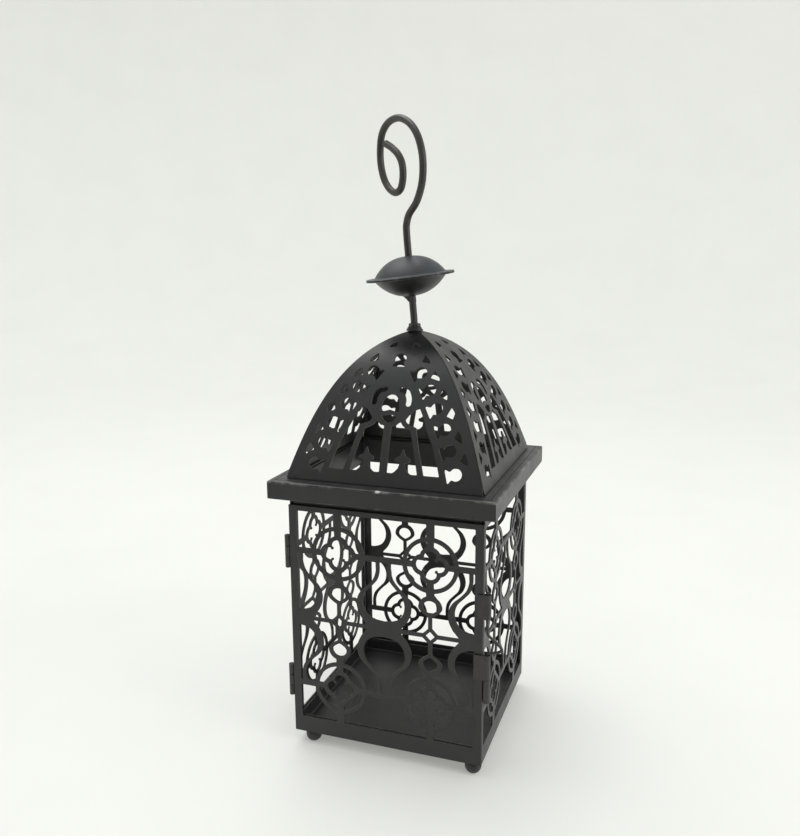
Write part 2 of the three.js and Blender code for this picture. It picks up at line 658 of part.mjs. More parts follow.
const discFrame = new THREE.Group();
const [discX, discY] = turned(DISC_SHIFT, LEAN_TURN);
discFrame.position.set(discX, discY, DISC_HEIGHT);
const tiltAxis = new THREE.Vector3(...turned(1, LEAN_TURN - 90), 0);
discFrame.quaternion.setFromAxisAngle(tiltAxis, THREE.MathUtils.degToRad(DISC_TILT));
place('disc_upper_shell', discShell(DISC_UPPER), PAINT, 0, 0, 0, discFrame);
const lowerShell = place('disc_lower_shell', discShell(DISC_LOWER), PAINT, 0, 0, 0, discFrame);
lowerShell.rotation.x = Math.PI;
lantern.add(discFrame);

const door = new THREE.Group();
const doorPanel = stoodUp(piercedSheet(2 * BODY_HALF, DOOR_HEIGHT, DOOR_PATTERN));
place('door_panel', doorPanel, PAINT, 0, -BODY_HALF_DEPTH + SHEET, BODY_BOTTOM, door);
for (const [name, low] of HINGES) {
  place(`hinge_${name}_body_leaf`, hingeBodyLeaf(), FITTING_PAINT, 0, 0, low);
  place(`hinge_${name}_pin`, hingePin(), FITTING_PAINT, 0, 0, low);
  place(`hinge_${name}_door_knuckle`, hingeDoorKnuckle(), FITTING_PAINT, 0, 0, low, door);
}
place('latch_upper_loop', latchLoop(UPPER_LOOP, UPPER_TAB), FITTING_PAINT, 0, 0, 0, door);
place('latch_lower_loop', latchLoop(LOWER_LOOP, LOWER_TAB), FITTING_PAINT, 0, 0, 0, door);
place('latch_pin', latchPin(), WIRE_PAINT, 0, 0, 0, door);
place('latch_keeper', latchKeeper(), FITTING_PAINT);
lantern.add(door);

export default lantern;
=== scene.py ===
import json
import math

import bmesh
import bpy
import numpy as np
from mathutils import Matrix, Vector, noise


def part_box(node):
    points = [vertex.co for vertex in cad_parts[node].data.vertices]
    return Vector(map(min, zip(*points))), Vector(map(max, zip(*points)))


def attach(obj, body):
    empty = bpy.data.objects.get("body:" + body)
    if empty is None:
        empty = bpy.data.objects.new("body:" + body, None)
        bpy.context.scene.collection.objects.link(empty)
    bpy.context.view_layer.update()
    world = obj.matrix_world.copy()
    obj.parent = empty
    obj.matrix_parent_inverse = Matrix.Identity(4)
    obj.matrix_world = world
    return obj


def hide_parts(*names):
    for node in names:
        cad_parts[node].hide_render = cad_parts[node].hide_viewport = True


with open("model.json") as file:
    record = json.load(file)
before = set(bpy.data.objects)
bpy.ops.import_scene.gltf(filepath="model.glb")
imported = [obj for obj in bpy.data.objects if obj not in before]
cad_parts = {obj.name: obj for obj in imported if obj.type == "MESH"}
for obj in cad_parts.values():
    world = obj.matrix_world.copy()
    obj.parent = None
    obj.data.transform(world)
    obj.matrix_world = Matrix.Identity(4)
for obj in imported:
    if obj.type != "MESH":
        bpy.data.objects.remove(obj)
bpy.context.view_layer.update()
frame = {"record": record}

MM = 0.001            # sizes are in millimetres unless a heading says otherwise, and objects in metres
SIDES = ("front", "right", "back", "left")

# ---- Camera, in metres and degrees ----
CAMERA_PLACE = (0.17968, -0.53401, 0.33360)
CAMERA_AZIMUTH = 19.6212
CAMERA_DOWN = 11.626
CAMERA_ROLL = -0.3305
CAMERA_LENS = 36.52
CAMERA_SENSOR = 36.0

# ---- Sheets ----
SHEET = 1.2           # thickness of the pressed steel
GRID = 0.25           # spacing of the grid that an outline is traced on
OUTLINE_ERROR = 0.012  # how far a traced outline may be thinned from its true line
SHEET_EDGE = 0.14     # rounding of a pressed sheet's edges
CORNER_SOFTENING = 2  # passes of smoothing that round a cut's corners
EDGE_WEAR = 0.12      # how rubbed the paint is along a pressed sheet's edges
PATCH_MARGIN = 2.0    # how far round a patch its distance is exact
SMALLEST_LOOP = 0.3   # least area that an outline is kept for, in square millimetres
MERGE = 0.004         # points of a filled outline nearer than this become one
SHARP_ANGLE = 30      # edges with a steeper turn than this are drawn sharp, in degrees

# ---- Wall and door pattern, from the pattern's middle ----
PATTERN_MIDDLE = 83.35
# Borders at each panel's left and right from outside, its opening's lower and upper edge, and how far its
# pattern sits off the panel's middle.
PANELS = {
    "door_panel": ((5.5, 5.5), (-72.2, 73.3), 0.0),
    "left_wall": ((5.5, 9.2), (-72.2, 73.3), -1.6),
    "right_wall": ((2.5, 5.5), (-72.2, 73.3), 0.0),
    "back_wall": ((5.5, 5.5), (-70.4, 75.2), -1.6),
}
RAIL_HEIGHT = 46.7
RAIL_HALF = 1.9
MIDDLE_BAR_HALF = 1.25
ROSETTE = (31.0, 46.85)
RING = (15.5, 18.2)
POST_HALF = 2.6
SPOKE_HALF = 2.25
LOBE_REACH = 5.2
LOBE_OUTER = 6.9
LOBE_INNER = 4.2
TIP = (3.8, 3.7)      # little balls that stand into the quatrefoil's opening
TIP_RADIUS = 0.9
KEYHOLE_MIDDLES = (0.0, 61.0)
KEYHOLE_OUTER = ((5.1, 47), (5.1, 42), (5.1, 38.8), (6.9, 33.4), (11, 28.4), (15.8, 23.8), (18.3, 18),
                 (18, 12), (15.4, 6.2), (11, 1.2), (10.4, 0), (0, 0), (0, 47))
KEYHOLE_INNER = ((2.6, 44.9), (2.6, 38.8), (4.2, 33), (8.4, 28), (12.4, 23.5), (14.1, 18), (13.2, 12.3),
                 (9.8, 7.8), (5, 5.8), (0, 5.3), (-1, 5.3), (-1, 44.9))
KEYHOLE_CURVED = 9    # how many of the keyhole's first points a smooth line joins
DROP_HEIGHT = 18.8
DROP_OUTER = 7.85
DROP_INNER = 4.9
DROP_OUTER_POINT = 12.15
DROP_INNER_POINT = 14.65
DROP_STEM_HALF = 1.3
DIAMOND = (3.1, 6.2)  # reach of the hole and of the metal round it
QUARTER = (66, 94)    # size of the quarter that the whole pattern is mirrored from

# ---- Roof panel, as distance across and distance up along its curve ----
DOME_SHOULDER = (54.2, 221.5)
DOME_CROWN = (39.9, 267.6)
RIDGE_GAP = 0.25
ROOF_STEP = 2.0       # spacing of the lines that the flat panel bends along
ROOF_CORNER = (0.9, 5.0)  # how far the panel's lower corners are cut back, and over what height
CROWN_RISE = 0.7      # height of the roof's apex over the foot of the collar
CURVE_STEPS = 600
APEX_HOLE = 3.2

# ---- Eaves, tray and feet ----
EAVE_INNER = 63.0
EAVE_RISE = 0.2
EAVE_FOLD = 0.9       # radius of the fold between skirt and ledge
EAVE_GROOVE = 70.1    # half width of the fine line pressed into the ledge
EAVE_MITRE = 0.12
EAVE_STATIONS = 121   # sections along one eave, for its patchy wear and its patchy painted highlight along the groove
EAVE_CORNER = 71.5    # from here to its end an eave is more rubbed
CHIP_PLACE = 0.8      # paint chip on the front fold, and its length along it
CHIP_REACH = 1.5
TRAY_BEND = 1.6
TRAY_INNER_BEND = 1.4
TRAY_LIP_EDGE = ((0, -0.4, 0), (0.15, -0.1, 0.3), (0.4, 0, 0.3), (SHEET - 0.4, 0, 0.3),
                 (SHEET - 0.15, -0.1, 0.3), (SHEET, -0.4, 0))  # inset, height from the lip's top, wear
FRAME_EDGE = 0.2
FRAME_BEND = 1.6
FOOT_FLAT = 1.7
FOOT_NECK = 1.1       # how far under the tray the ball gives way to its bead of weld
FOOT_BEAD = ((-0.15, -0.85, 0), (0, -0.5, 0.2), (0.25, -0.25, 0.2), (0.2, 0, 0))

# ---- Hook, disc and nuts ----
WIRE_RADIUS = 2.34
ROD_LEAN_START = 279.3
ROD_TOP = (-5.2, 342.2)
LEAN_TURN = 19.6
HOOK_TURN = -36.4
HOOK = ((0.1, 3.1), (2.7, 9.2), (11.6, 17.4), (17.2, 28), (18.5, 38), (17.2, 47.5), (12.2, 57.9),
        (3.7, 65.8), (-8.6, 70.2), (-21, 68.3), (-28.1, 62.1), (-30.4, 51.6), (-29.3, 41.3),
        (-24.9, 32), (-18.3, 26.1), (-11.8, 24), (-6.3, 26.2), (-3.7, 33.4), (-4.5, 41.3),
        (-8.6, 47.3), (-16.1, 52.4), (-24, 56))
DISC_SHIFT = -2.85
DISC_HEIGHT = 312.5
DISC_TILT = 6.7
DISC_REACH = 29.15
DISC_DOME = 23.6
DISC_SHAPES = ((12.4, 2.5), (12.0, 2.3))  # each dome's rise, and the exponent that flattens its top
DISC_FLANK = 0.9      # exponent that steepens both domes near the rim
DISC_SHEET = 0.7
DISC_SEAM = 0.12
DISC_FOOT = 80        # where the dome gives way to its flare, as the angle of a round dome in degrees
DISC_BORE = 2.6
DISC_RIM = ((-0.9, 1, 0, 0), (-0.25, 1, 0, 1), (-0.05, 1, -0.15, 1), (0, 0.5, 0, 1), (-0.05, 0, 0.1, 1),
            (-0.2, 0, 0, 0.5))  # reach from the rim, share of the sheet, height from there, wear
DISC_WELD_CORE = 0.45  # how far inside the bore the weld starts
DISC_WELD = ((-0.5, 1.0), (3.6, 0.4), (3.1, -0.3), (2.0, -1.3), (1.0, -2.7), (0.2, -3.8), (-0.5, -4.1))
NUT_FLATS = 7.0
NUT_BORE = 2.5
NUT_TURN = -10.4
NUT_ENDS = ((0, 0.93), (0.15, 0.96), (0.35, 0.99), (0.5, 1.2))  # depth from an end, reach against a corner
COLLAR_FOOT = ((0, 0), (0, 0.35), (-0.35, 0.8))  # from the collar's reach and its foot
COLLAR_CLIMB = ((5.05, 0.1), (4.55, 0.9), (4.15, 1.5), (3.7, 1.65))  # radius, height over the collar's top

# ---- Hinges and latch ----
LEAF = 0.8
LEAF_EDGE = 0.1
HINGE_AXIS = (-67.2, -61.9)
HINGE_ROLL = 1.5
HINGE_PIN = 1.0
HINGE_GAP = 0.3       # between one knuckle and the next
LATCH_AXIS = (67.5, -62.4)
LATCH_ROLL = 1.8
LATCH_PIN = 0.9
LATCH_BEND = ((0, 0, 69.3), (0, 0, 82), (0.2, 0.1, 85.4), (1.8, 0.5, 86.3), (6.6, 1.9, 87),
              (8.6, 2.4, 88.6), (7, 2, 91.6), (3, 0.9, 95.6), (0.5, 0.2, 98.6), (0, 0, 102), (0, 0, 126.4))

# ---- Floor and light, in metres ----
FLOOR_REACH = 1.2     # where the floor starts to sweep up
FLOOR_BEND = 1.0
FLOOR_TOP = 2.2
FLOOR_COLOURS = ((0.3, (0.56, 0.565, 0.54, 1)), (0.6, (0.575, 0.58, 0.555, 1)))
FLOOR_GLOW = ((1.0, 1.0, 0.965, 1), 0.25)
SKY = ((0.93, 0.95, 0.97, 1), 0.76)
LAMP_COLOUR = (1.0, 0.99, 0.97)
LAMP_AIM = (0, 0, 0.2)
LAMPS = (("overhead", (-0.5, 0.3, 1.7), 1.4, 14), ("right", (1.6, -0.2, 0.9), 1.2, 11.5))
CARD_SPREAD = 50      # the card's reach to each side of the camera, in degrees
CARD_DISTANCE = 1.15
CARD_HEIGHTS = (0.0, 0.3, 0.6)


def smooth_line(points, steps=6):
    """Catmull-Rom line through points in a plane."""
    ring = [Vector(p) for p in points]
    ring = [ring[0]] + ring + [ring[-1]]
    line = []
    for before, start, end, after in zip(ring, ring[1:], ring[2:], ring[3:]):
        for step in range(steps):
            t = step / steps
            line.append(0.5 * (2 * start + (end - before) * t
                               + (2 * before - 5 * start + 4 * end - after) * t * t
                               + (3 * start - before - 3 * end + after) * t ** 3))
    line.append(ring[-1])
    return [(p.x, p.y) for p in line]


def wire_line(points, steps):
    """Smooth line through points in space that are spaced unevenly (a centripetal Catmull-Rom line)."""
    ring = [Vector(p) for p in points]
    ring = [2 * ring[0] - ring[1]] + ring + [2 * ring[-1] - ring[-2]]
    line = []
    for before, start, end, after in zip(ring, ring[1:], ring[2:], ring[3:]):
        gaps = [math.sqrt((b - a).length) for a, b in ((before, start), (start, end), (end, after))]
        leave = (start - before) / gaps[0] - (end - before) / (gaps[0] + gaps[1]) + (end - start) / gaps[1]
        arrive = (end - start) / gaps[1] - (after - start) / (gaps[1] + gaps[2]) + (after - end) / gaps[2]
        leave, arrive = leave * gaps[1], arrive * gaps[1]
        for step in range(steps):
            t = step / steps
            line.append(start + leave * t + (3 * (end - start) - 2 * leave - arrive) * t * t
                        + (2 * (start - end) + leave + arrive) * t ** 3)
    return line + [ring[-2]]


# ---- Signed distances over a flat grid, negative inside the metal ----
class Plan:
    """A flat drawing. Pieces of metal are added to it and holes are cut from it."""

    def __init__(self, low, high):
        self.xs = np.arange(low[0] - 2 * GRID, high[0] + 3 * GRID, GRID)
        self.ys = np.arange(low[1] - 2 * GRID, high[1] + 3 * GRID, GRID)
        self.x, self.y = np.meshgrid(self.xs, self.ys)
        self.metal = np.full(self.x.shape, 1e3)

    def add(self, distance):
        self.metal = np.minimum(self.metal, distance)

    def cut(self, distance):
        self.metal = np.maximum(self.metal, -distance)

    def keep(self, distance):
        self.metal = np.maximum(self.metal, distance)

    def disc(self, centre, radius):
        return np.hypot(self.x - centre[0], self.y - centre[1]) - radius

    def oval(self, centre, across, up):
        reach = np.hypot((self.x - centre[0]) / across, (self.y - centre[1]) / up)
        return (reach - 1) * min(across, up)

    def block(self, low, high):
        across = np.maximum(low[0] - self.x, self.x - high[0])
        up = np.maximum(low[1] - self.y, self.y - high[1])
        return np.hypot(np.maximum(across, 0), np.maximum(up, 0)) + np.minimum(np.maximum(across, up), 0)

    def diamond(self, centre, reach):
        return (abs(self.x - centre[0]) + abs(self.y - centre[1]) - reach) / math.sqrt(2)

    def stroke(self, points, half):
        reach = np.full(self.x.shape, 1e3)
        for start, end in zip(points, points[1:]):
            reach = np.minimum(reach, self._to_segment(start, end, self.x, self.y))
        return reach - half

    @staticmethod
    def _to_segment(start, end, x, y):
        along = (end[0] - start[0], end[1] - start[1])
        length = max(along[0] ** 2 + along[1] ** 2, 1e-9)
        share = np.clip(((x - start[0]) * along[0] + (y - start[1]) * along[1]) / length, 0, 1)
        return np.hypot(x - start[0] - share * along[0], y - start[1] - share * along[1])

    def patch(self, points):
        """Distance to a closed outline, exact near it and a safe guess far away."""
        corners = np.array(points, float)
        low, high = corners.min(0) - PATCH_MARGIN, corners.max(0) + PATCH_MARGIN
        whole = np.maximum(self.block(low, high), 0) + PATCH_MARGIN
        columns = slice(np.searchsorted(self.xs, low[0]), np.searchsorted(self.xs, high[0]))
        rows = slice(np.searchsorted(self.ys, low[1]), np.searchsorted(self.ys, high[1]))
        x, y = self.x[rows, columns], self.y[rows, columns]
        if x.size == 0:
            return whole
        reach = np.full(x.shape, 1e3)
        inside = np.zeros(x.shape, bool)
        for start, end in zip(corners, np.roll(corners, -1, axis=0)):
            reach = np.minimum(reach, self._to_segment(start, end, x, y))
            if start[1] != end[1]:
                crossing = start[0] + (y - start[1]) * (end[0] - start[0]) / (end[1] - start[1])
                inside ^= ((start[1] > y) != (end[1] > y)) & (x < crossing)
        whole[rows, columns] = np.where(inside, -reach, reach)
        return whole

    def soften(self, passes):
        for _ in range(passes):
            for axis in (0, 1):
                ends = [(1, 1) if k == axis else (0, 0) for k in (0, 1)]
                padded = np.pad(self.metal, ends, mode="edge")
                first = padded.take(range(0, self.metal.shape[axis]), axis)
                last = padded.take(range(2, self.metal.shape[axis] + 2), axis)
                self.metal = (first + 2 * self.metal + last) / 4


# Each case of a grid square says which of its sides an outline enters and leaves by, metal on the left.
SQUARE_CASES = {
    1: ("bottom", "left"), 2: ("right", "bottom"), 3: ("right", "left"), 4: ("top", "right"),
    6: ("top", "bottom"), 7: ("top", "left"), 8: ("left", "top"), 9: ("bottom", "top"),
    11: ("right", "top"), 12: ("left", "right"), 13: ("bottom", "right"), 14: ("left", "bottom"),
}
SADDLE_CASES = {5: (1, 4), 10: (2, 8)}


def outlines(plan):
    """Closed outlines of the plan's metal, by marching squares."""
    depth = plan.metal
    rows, columns = depth.shape
    inside = depth < 0
    case = (inside[:-1, :-1] * 1 + inside[:-1, 1:] * 2 + inside[1:, 1:] * 4 + inside[1:, :-1] * 8)
    count = rows * columns

    side_numbers = {"bottom": 0, "top": columns, "left": count, "right": count + 1}
    following = {}
    for number in range(1, 15):
        i, j = np.nonzero(case == number)
        if i.size == 0:
            continue
        for part in SADDLE_CASES.get(number, (number,)):
            enter, leave = (i * columns + j + side_numbers[side] for side in SQUARE_CASES[part])
            following.update(zip(enter.tolist(), leave.tolist()))

    def crossing(number):
        upright, cell = divmod(number, count)
        i, j = divmod(cell, columns)
        a = depth[i, j]
        if upright:
            share = a / (a - depth[i + 1, j])
            return (plan.xs[j], plan.ys[i] + share * GRID)
        share = a / (a - depth[i, j + 1])
        return (plan.xs[j] + share * GRID, plan.ys[i])

    loops = []
    while following:
        start, number = following.popitem()
        loop = [crossing(start)]
        while number != start:
            loop.append(crossing(number))
            number = following.pop(number)
        if abs(area(loop)) > SMALLEST_LOOP:
            loops.append(thinned(loop))
    return loops


def area(loop):
    p = np.array(loop)
    q = np.roll(p, -1, axis=0)
    return float(np.sum(p[:, 0] * q[:, 1] - q[:, 0] * p[:, 1]) / 2)


def thinned(loop):
    """Leaves out points that lie on the line between their neighbours."""
    p = np.array(loop)
    far = int(np.argmax(np.hypot(*(p - p[0]).T)))
    kept = {0, far}
    p = np.vstack([p, p[:1]])
    spans = [(0, far), (far, len(p) - 1)]
    while spans:
        first, last = spans.pop()
        if last - first < 2:
            continue
        along = p[last] - p[first]
        length = max(float(np.hypot(*along)), 1e-9)
        between = p[first + 1:last] - p[first]
        away = abs(between[:, 0] * along[1] - between[:, 1] * along[0])
        worst = int(np.argmax(away))
        if away[worst] / length > OUTLINE_ERROR:
            middle = first + 1 + worst
            kept.add(middle)
            spans += [(first, middle), (middle, last)]
    return [tuple(p[k]) for k in sorted(kept)]


# ---- Meshes ----
def mesh_of(name, shape):
    mesh = bpy.data.meshes.new(name)
    shape.to_mesh(mesh)
    shape.free()
    return mesh


def plate(loops, low, high, edge):
    """A bmesh in millimetres: the outlines filled and given a thickness along Z, with chamfered edges."""
    drawing = bpy.data.curves.new("drawing", "CURVE")
    drawing.dimensions = "2D"
    drawing.fill_mode = "BOTH"
    for loop in loops:
        line = drawing.splines.new("POLY")
        line.points.add(len(loop) - 1)
        line.points.foreach_set("co", np.array([(x, y, 0, 1) for x, y in loop]).ravel())
        line.use_cyclic_u = True
    drawing.extrude = (high - low) / 2 - edge
    drawing.bevel_depth = edge
    drawing.bevel_resolution = 0
    drawing.offset = -edge
    holder = bpy.data.objects.new("drawing", drawing)
    bpy.context.scene.collection.objects.link(holder)
    graph = bpy.context.evaluated_depsgraph_get()
    mesh = bpy.data.meshes.new_from_object(holder.evaluated_get(graph))
    shape = bmesh.new()
    shape.from_mesh(mesh)
    bpy.data.objects.remove(holder)
    bpy.data.curves.remove(drawing)
    bpy.data.meshes.remove(mesh)
    bmesh.ops.remove_doubles(shape, verts=shape.verts, dist=MERGE)
    wear_and_highlight = shape.verts.layers.float.new("wear_and_highlight")
    half = (high - low) / 2
    for vertex in shape.verts:
        vertex[wear_and_highlight] = 0.0 if abs(vertex.co.z) > half - 0.02 else EDGE_WEAR
        vertex.co.z += (low + high) / 2
    return shape


def piece(name, shape, cover, body, *nodes, slot="lantern_paint"):
    """Makes the named object from a bmesh in metres and stands it in for its CAD nodes."""
    bmesh.ops.recalc_face_normals(shape, faces=shape.faces)
    mesh = mesh_of(name, shape)
    mesh.shade_smooth()
    mesh.set_sharp_from_angle(angle=math.radians(SHARP_ANGLE))
    mesh.materials.append(cover)
    obj = bpy.data.objects.new(name, mesh)
    bpy.context.scene.collection.objects.link(obj)
    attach(obj, body)
    if nodes:
        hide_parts(*nodes)
    return obj


def fitted(node, shape, body="lantern_body"):
    """Stands a bmesh in millimetres in for the CAD node of that name, in the paint of the node's own slot;
    the disc shells take paints of their own.
    """
    slot = NODE_SLOTS[node]
    # The disc's top shell takes a lighter, bluish copy of the paint, a painted sky reflection; its lower
    # shell takes a near-black copy, painted shade.
    cover = {"disc_upper_shell": DISC_TOP_PAINTED_REFLECTION, "disc_lower_shell": DISC_UNDER_PAINTED_SHADE}.get(node, SLOT_PAINTS[slot])
    return piece(node + "_fine", moved(shape, Matrix.Scale(MM, 4)), cover, body, node, slot=slot)


def moved(shape, matrix):
    bmesh.ops.transform(shape, matrix=matrix, verts=shape.verts)
    return shape


def heights(node):
    """A CAD node's bottom and top, in millimetres."""
    return [corner.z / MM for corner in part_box(node)]


def turning(profile, sides, closed=False):
    """A bmesh turned about Z from points of radius, height and, if given, wear."""
    rings = []
    for radius, height, *rubbed in profile:
        angles = [2 * math.pi * k / sides for k in range(sides)] if radius > 1e-6 else [0]
        wear_and_highlight = rubbed[0] if rubbed else 0.0
        rings.append([(radius * math.cos(a), radius * math.sin(a), height, wear_and_highlight) for a in angles])
    return rings_joined(rings, closed, False)


def lumpy(shape, size, scale):
    """Pushes every point in or out from the Z axis by smooth, fixed noise."""
    for vertex in shape.verts:
        push = 1 + size * noise.noise(vertex.co * scale)
        vertex.co.x *= push
        vertex.co.y *= push
    return shape


def rings_joined(rings, closed=False, caps=True):
    """A bmesh from rings of (x, y, z, wear) points. A ring of one point is a pole."""
    shape = bmesh.new()
    wear_and_highlight = shape.verts.layers.float.new("wear_and_highlight")
    made = []
    for ring in rings:
        row = []
        for *place, rubbed in ring:
            vertex = shape.verts.new(place)
            vertex[wear_and_highlight] = rubbed
            row.append(vertex)
        made.append(row)
    pairs = list(zip(made, made[1:]))
    if closed:
        pairs.append((made[-1], made[0]))
    for low, high in pairs:
        count = max(len(low), len(high))
        for k in range(count):
            n = (k + 1) % count
            if len(low) == 1:
                shape.faces.new((low[0], high[n], high[k]))
            elif len(high) == 1:
                shape.faces.new((low[k], low[n], high[0]))
            else:
                shape.faces.new((low[k], low[n], high[n], high[k]))
    if caps and not closed:
        shape.faces.new(made[0])
        shape.faces.new(made[-1])
    return shape


def bend_arc(middle, radius, start, end, steps, rubbed=None):
    """Points round an arc between two angles in degrees, with their wear if it is given."""
    points = []
    for angle in np.radians(np.linspace(start, end, steps + 1)):
        spot = (middle[0] + radius * math.cos(angle), middle[1] + radius * math.sin(angle))
        points.append(spot if rubbed is None else (*spot, rubbed))
    return points


def strip(line, thickness):
    """The outline of a bent sheet, from the line along its middle."""
    p = np.array(line)
    along = np.gradient(p, axis=0)
    aside = np.stack([-along[:, 1], along[:, 0]], axis=1) / np.hypot(*along.T)[:, None] * thickness / 2
    return [tuple(q) for q in p + aside] + [tuple(q) for q in (p - aside)[::-1]]


def rod(points, radius, sides, end_round):
    """A round bar along a line of points, with its ends rounded off."""
    line = [Vector(p) for p in points]
    start_in, end_in = (line[1] - line[0]).normalized(), (line[-1] - line[-2]).normalized()
    rounding = ((0, 1), (0.3, 0.3), (1, 0))  # how far in from an end, and how much thinner, in rounding radii
    stations = [(line[0] + start_in * end_round * along, radius - end_round * less)
                for along, less in rounding]
    stations += [(p, radius) for p in line[1:-1]]
    stations += [(line[-1] - end_in * end_round * along, radius - end_round * less)
                 for along, less in reversed(rounding)]
    aside = start_in.orthogonal().normalized()
    rings = []
    for k, (middle, reach) in enumerate(stations):
        before = stations[max(k - 1, 0)][0]
        after = stations[min(k + 1, len(stations) - 1)][0]
        along = (after - before).normalized()
        aside = (aside - along * aside.dot(along)).normalized()
        other = along.cross(aside)
        ring = []
        for n in range(sides):
            angle = 2 * math.pi * n / sides
            spot = middle + (aside * math.cos(angle) + other * math.sin(angle)) * reach
            ring.append((*spot, 0.0))
        rings.append(ring)
    return rings_joined(rings)


# ---- Paints ----
BARE = (0.5, 0.49, 0.46)  # primer that shows where the paint is chipped


def principled(name):
    material = bpy.data.materials.new(name)
    material.use_nodes = True
    return material, material.node_tree, material.node_tree.nodes["Principled BSDF"]


def paint(name, colour, roughness, worn_and_highlight, grain=0.5):
    """Satin paint on steel: fine orange peel, dusty and darker patches, and bare-looking edges."""
    material, tree, shader = principled(name)
    shader.inputs["Metallic"].default_value = 0.0
    shader.inputs["IOR"].default_value = 1.5

    def node(kind, **inputs):
        made = tree.nodes.new(kind)
        for key, value in inputs.items():
            made.inputs[key.replace("_", " ")].default_value = value
        return made

    place = node("ShaderNodeTexCoord").outputs["Object"]

    def speckle(scale, detail, roughness_share):
        made = node("ShaderNodeTexNoise", Scale=scale, Detail=detail, Roughness=roughness_share)
        tree.links.new(place, made.inputs["Vector"])
        return made.outputs["Fac"]

    def ramp(source, low, high, low_value, high_value):
        made = node("ShaderNodeMapRange", From_Min=low, From_Max=high, To_Min=low_value, To_Max=high_value)
        tree.links.new(source, made.inputs["Value"])
        return made.outputs["Result"]

    def blend(share, first, second):
        made = tree.nodes.new("ShaderNodeMix")
        made.data_type = "RGBA"
        tree.links.new(share, made.inputs["Factor"])
        for socket, value in ((made.inputs[6], first), (made.inputs[7], second)):
            if isinstance(value, tuple):
                socket.default_value = (*value, 1)
            else:
                tree.links.new(value, socket)
        return made.outputs[2]

    darker = tuple(c * 0.78 for c in colour)
    dusty = tuple(c * 1.25 + 0.004 for c in colour)
    cloudy = ramp(speckle(28, 4, 0.6), 0.35, 0.65, 0, 1)
    base = blend(cloudy, darker, colour)
    dust = ramp(speckle(900, 3, 0.7), 0.6, 0.75, 0, 0.6)
    base = blend(dust, base, dusty)
    # The attribute read here marks rubbed paint, and along the eaves' grooves a painted highlight; both
    # lighten towards the worn colour.
    edge = tree.nodes.new("ShaderNodeAttribute")
    edge.attribute_name = "wear_and_highlight"
    patches = ramp(speckle(140, 3, 0.65), 0.46, 0.62, 0.15, 1)
    rubbed = node("ShaderNodeMath")
    rubbed.operation = "MULTIPLY"
    rubbed.use_clamp = True
    tree.links.new(edge.outputs["Fac"], rubbed.inputs[0])
    tree.links.new(patches, rubbed.inputs[1])
    base = blend(rubbed.outputs[0], base, worn_and_highlight)
    base = blend(ramp(edge.outputs["Fac"], 1.6, 2.4, 0, 1), base, BARE)
    tree.links.new(base, shader.inputs["Base Color"])
    sheen = ramp(speckle(60, 5, 0.6), 0.3, 0.7, roughness - 0.06, roughness + 0.07)
    tree.links.new(sheen, shader.inputs["Roughness"])
    bump = node("ShaderNodeBump", Strength=grain, Distance=0.00006)
    tree.links.new(speckle(1500, 2, 0.5), bump.inputs["Height"])
    tree.links.new(bump.outputs["Normal"], shader.inputs["Normal"])
    return material


BLACK = paint("lantern_paint_black", (0.0165, 0.0165, 0.0175), 0.40, (0.15, 0.147, 0.14))
# Two copies of the black paint for the disc: a lighter, bluish one for its top shell that paints in the sky's
# reflection, and a near-black one for its lower shell that paints in shade.
DISC_TOP_PAINTED_REFLECTION = paint("lantern_paint_disc", (0.024, 0.029, 0.0345), 0.44, (0.1, 0.1, 0.1))
DISC_UNDER_PAINTED_SHADE = paint("lantern_paint_disc_under_painted_shade", (0.007, 0.007, 0.0075), 0.42, (0.07, 0.07, 0.07))
WIRE = paint("wire_paint_brown_black", (0.026, 0.022, 0.0195), 0.42, (0.08, 0.075, 0.068), 0.35)
FITTING = paint("fastener_paint_black", (0.024, 0.022, 0.021), 0.45, (0.085, 0.08, 0.075))
SLOT_PAINTS = {"lantern_paint": BLACK, "wire_paint": WIRE, "fastener_paint": FITTING}
NODE_SLOTS = {part["node"]: part["material_slot"] for part in frame["record"]["subparts"]}


# ---- Pierced walls and door ----
def quatrefoil(plan, centre, reach, radius):
    cells = [plan.disc((centre[0] + dx * reach, centre[1] + dy * reach), radius)
             for dx, dy in ((1, 0), (-1, 0), (0, 1), (0, -1))]
    cells.append(plan.disc(centre, reach))
    return np.minimum.reduce(cells)


def drop(plan, radius, point):
    """A round drop under the rosette, whose tip points down to the given height."""
    angles = np.linspace(0, math.pi, 25)
    top = [(radius * math.cos(a), radius * math.sin(a)) for a in angles]
    reach = DROP_HEIGHT - point
    side = [(radius * (1 - t) * (1 + 0.8 * t), -reach * t) for t in np.linspace(0, 1, 9)[1:]]
    lower = [(-x, y) for x, y in side] + [(x, y) for x, y in reversed(side[:-1])]
    return plan.patch([(ROSETTE[0] + x, DROP_HEIGHT + y) for x, y in top + lower])


def keyholes(plan, points):
    """The keyhole outline and its mirror image at each keyhole's middle, as patches."""
    line = smooth_line(points[:KEYHOLE_CURVED], steps=5) + list(points[KEYHOLE_CURVED:])
    return [plan.patch([(middle + mirror * x, y) for x, y in line])
            for middle in KEYHOLE_MIDDLES for mirror in (-1, 1)]


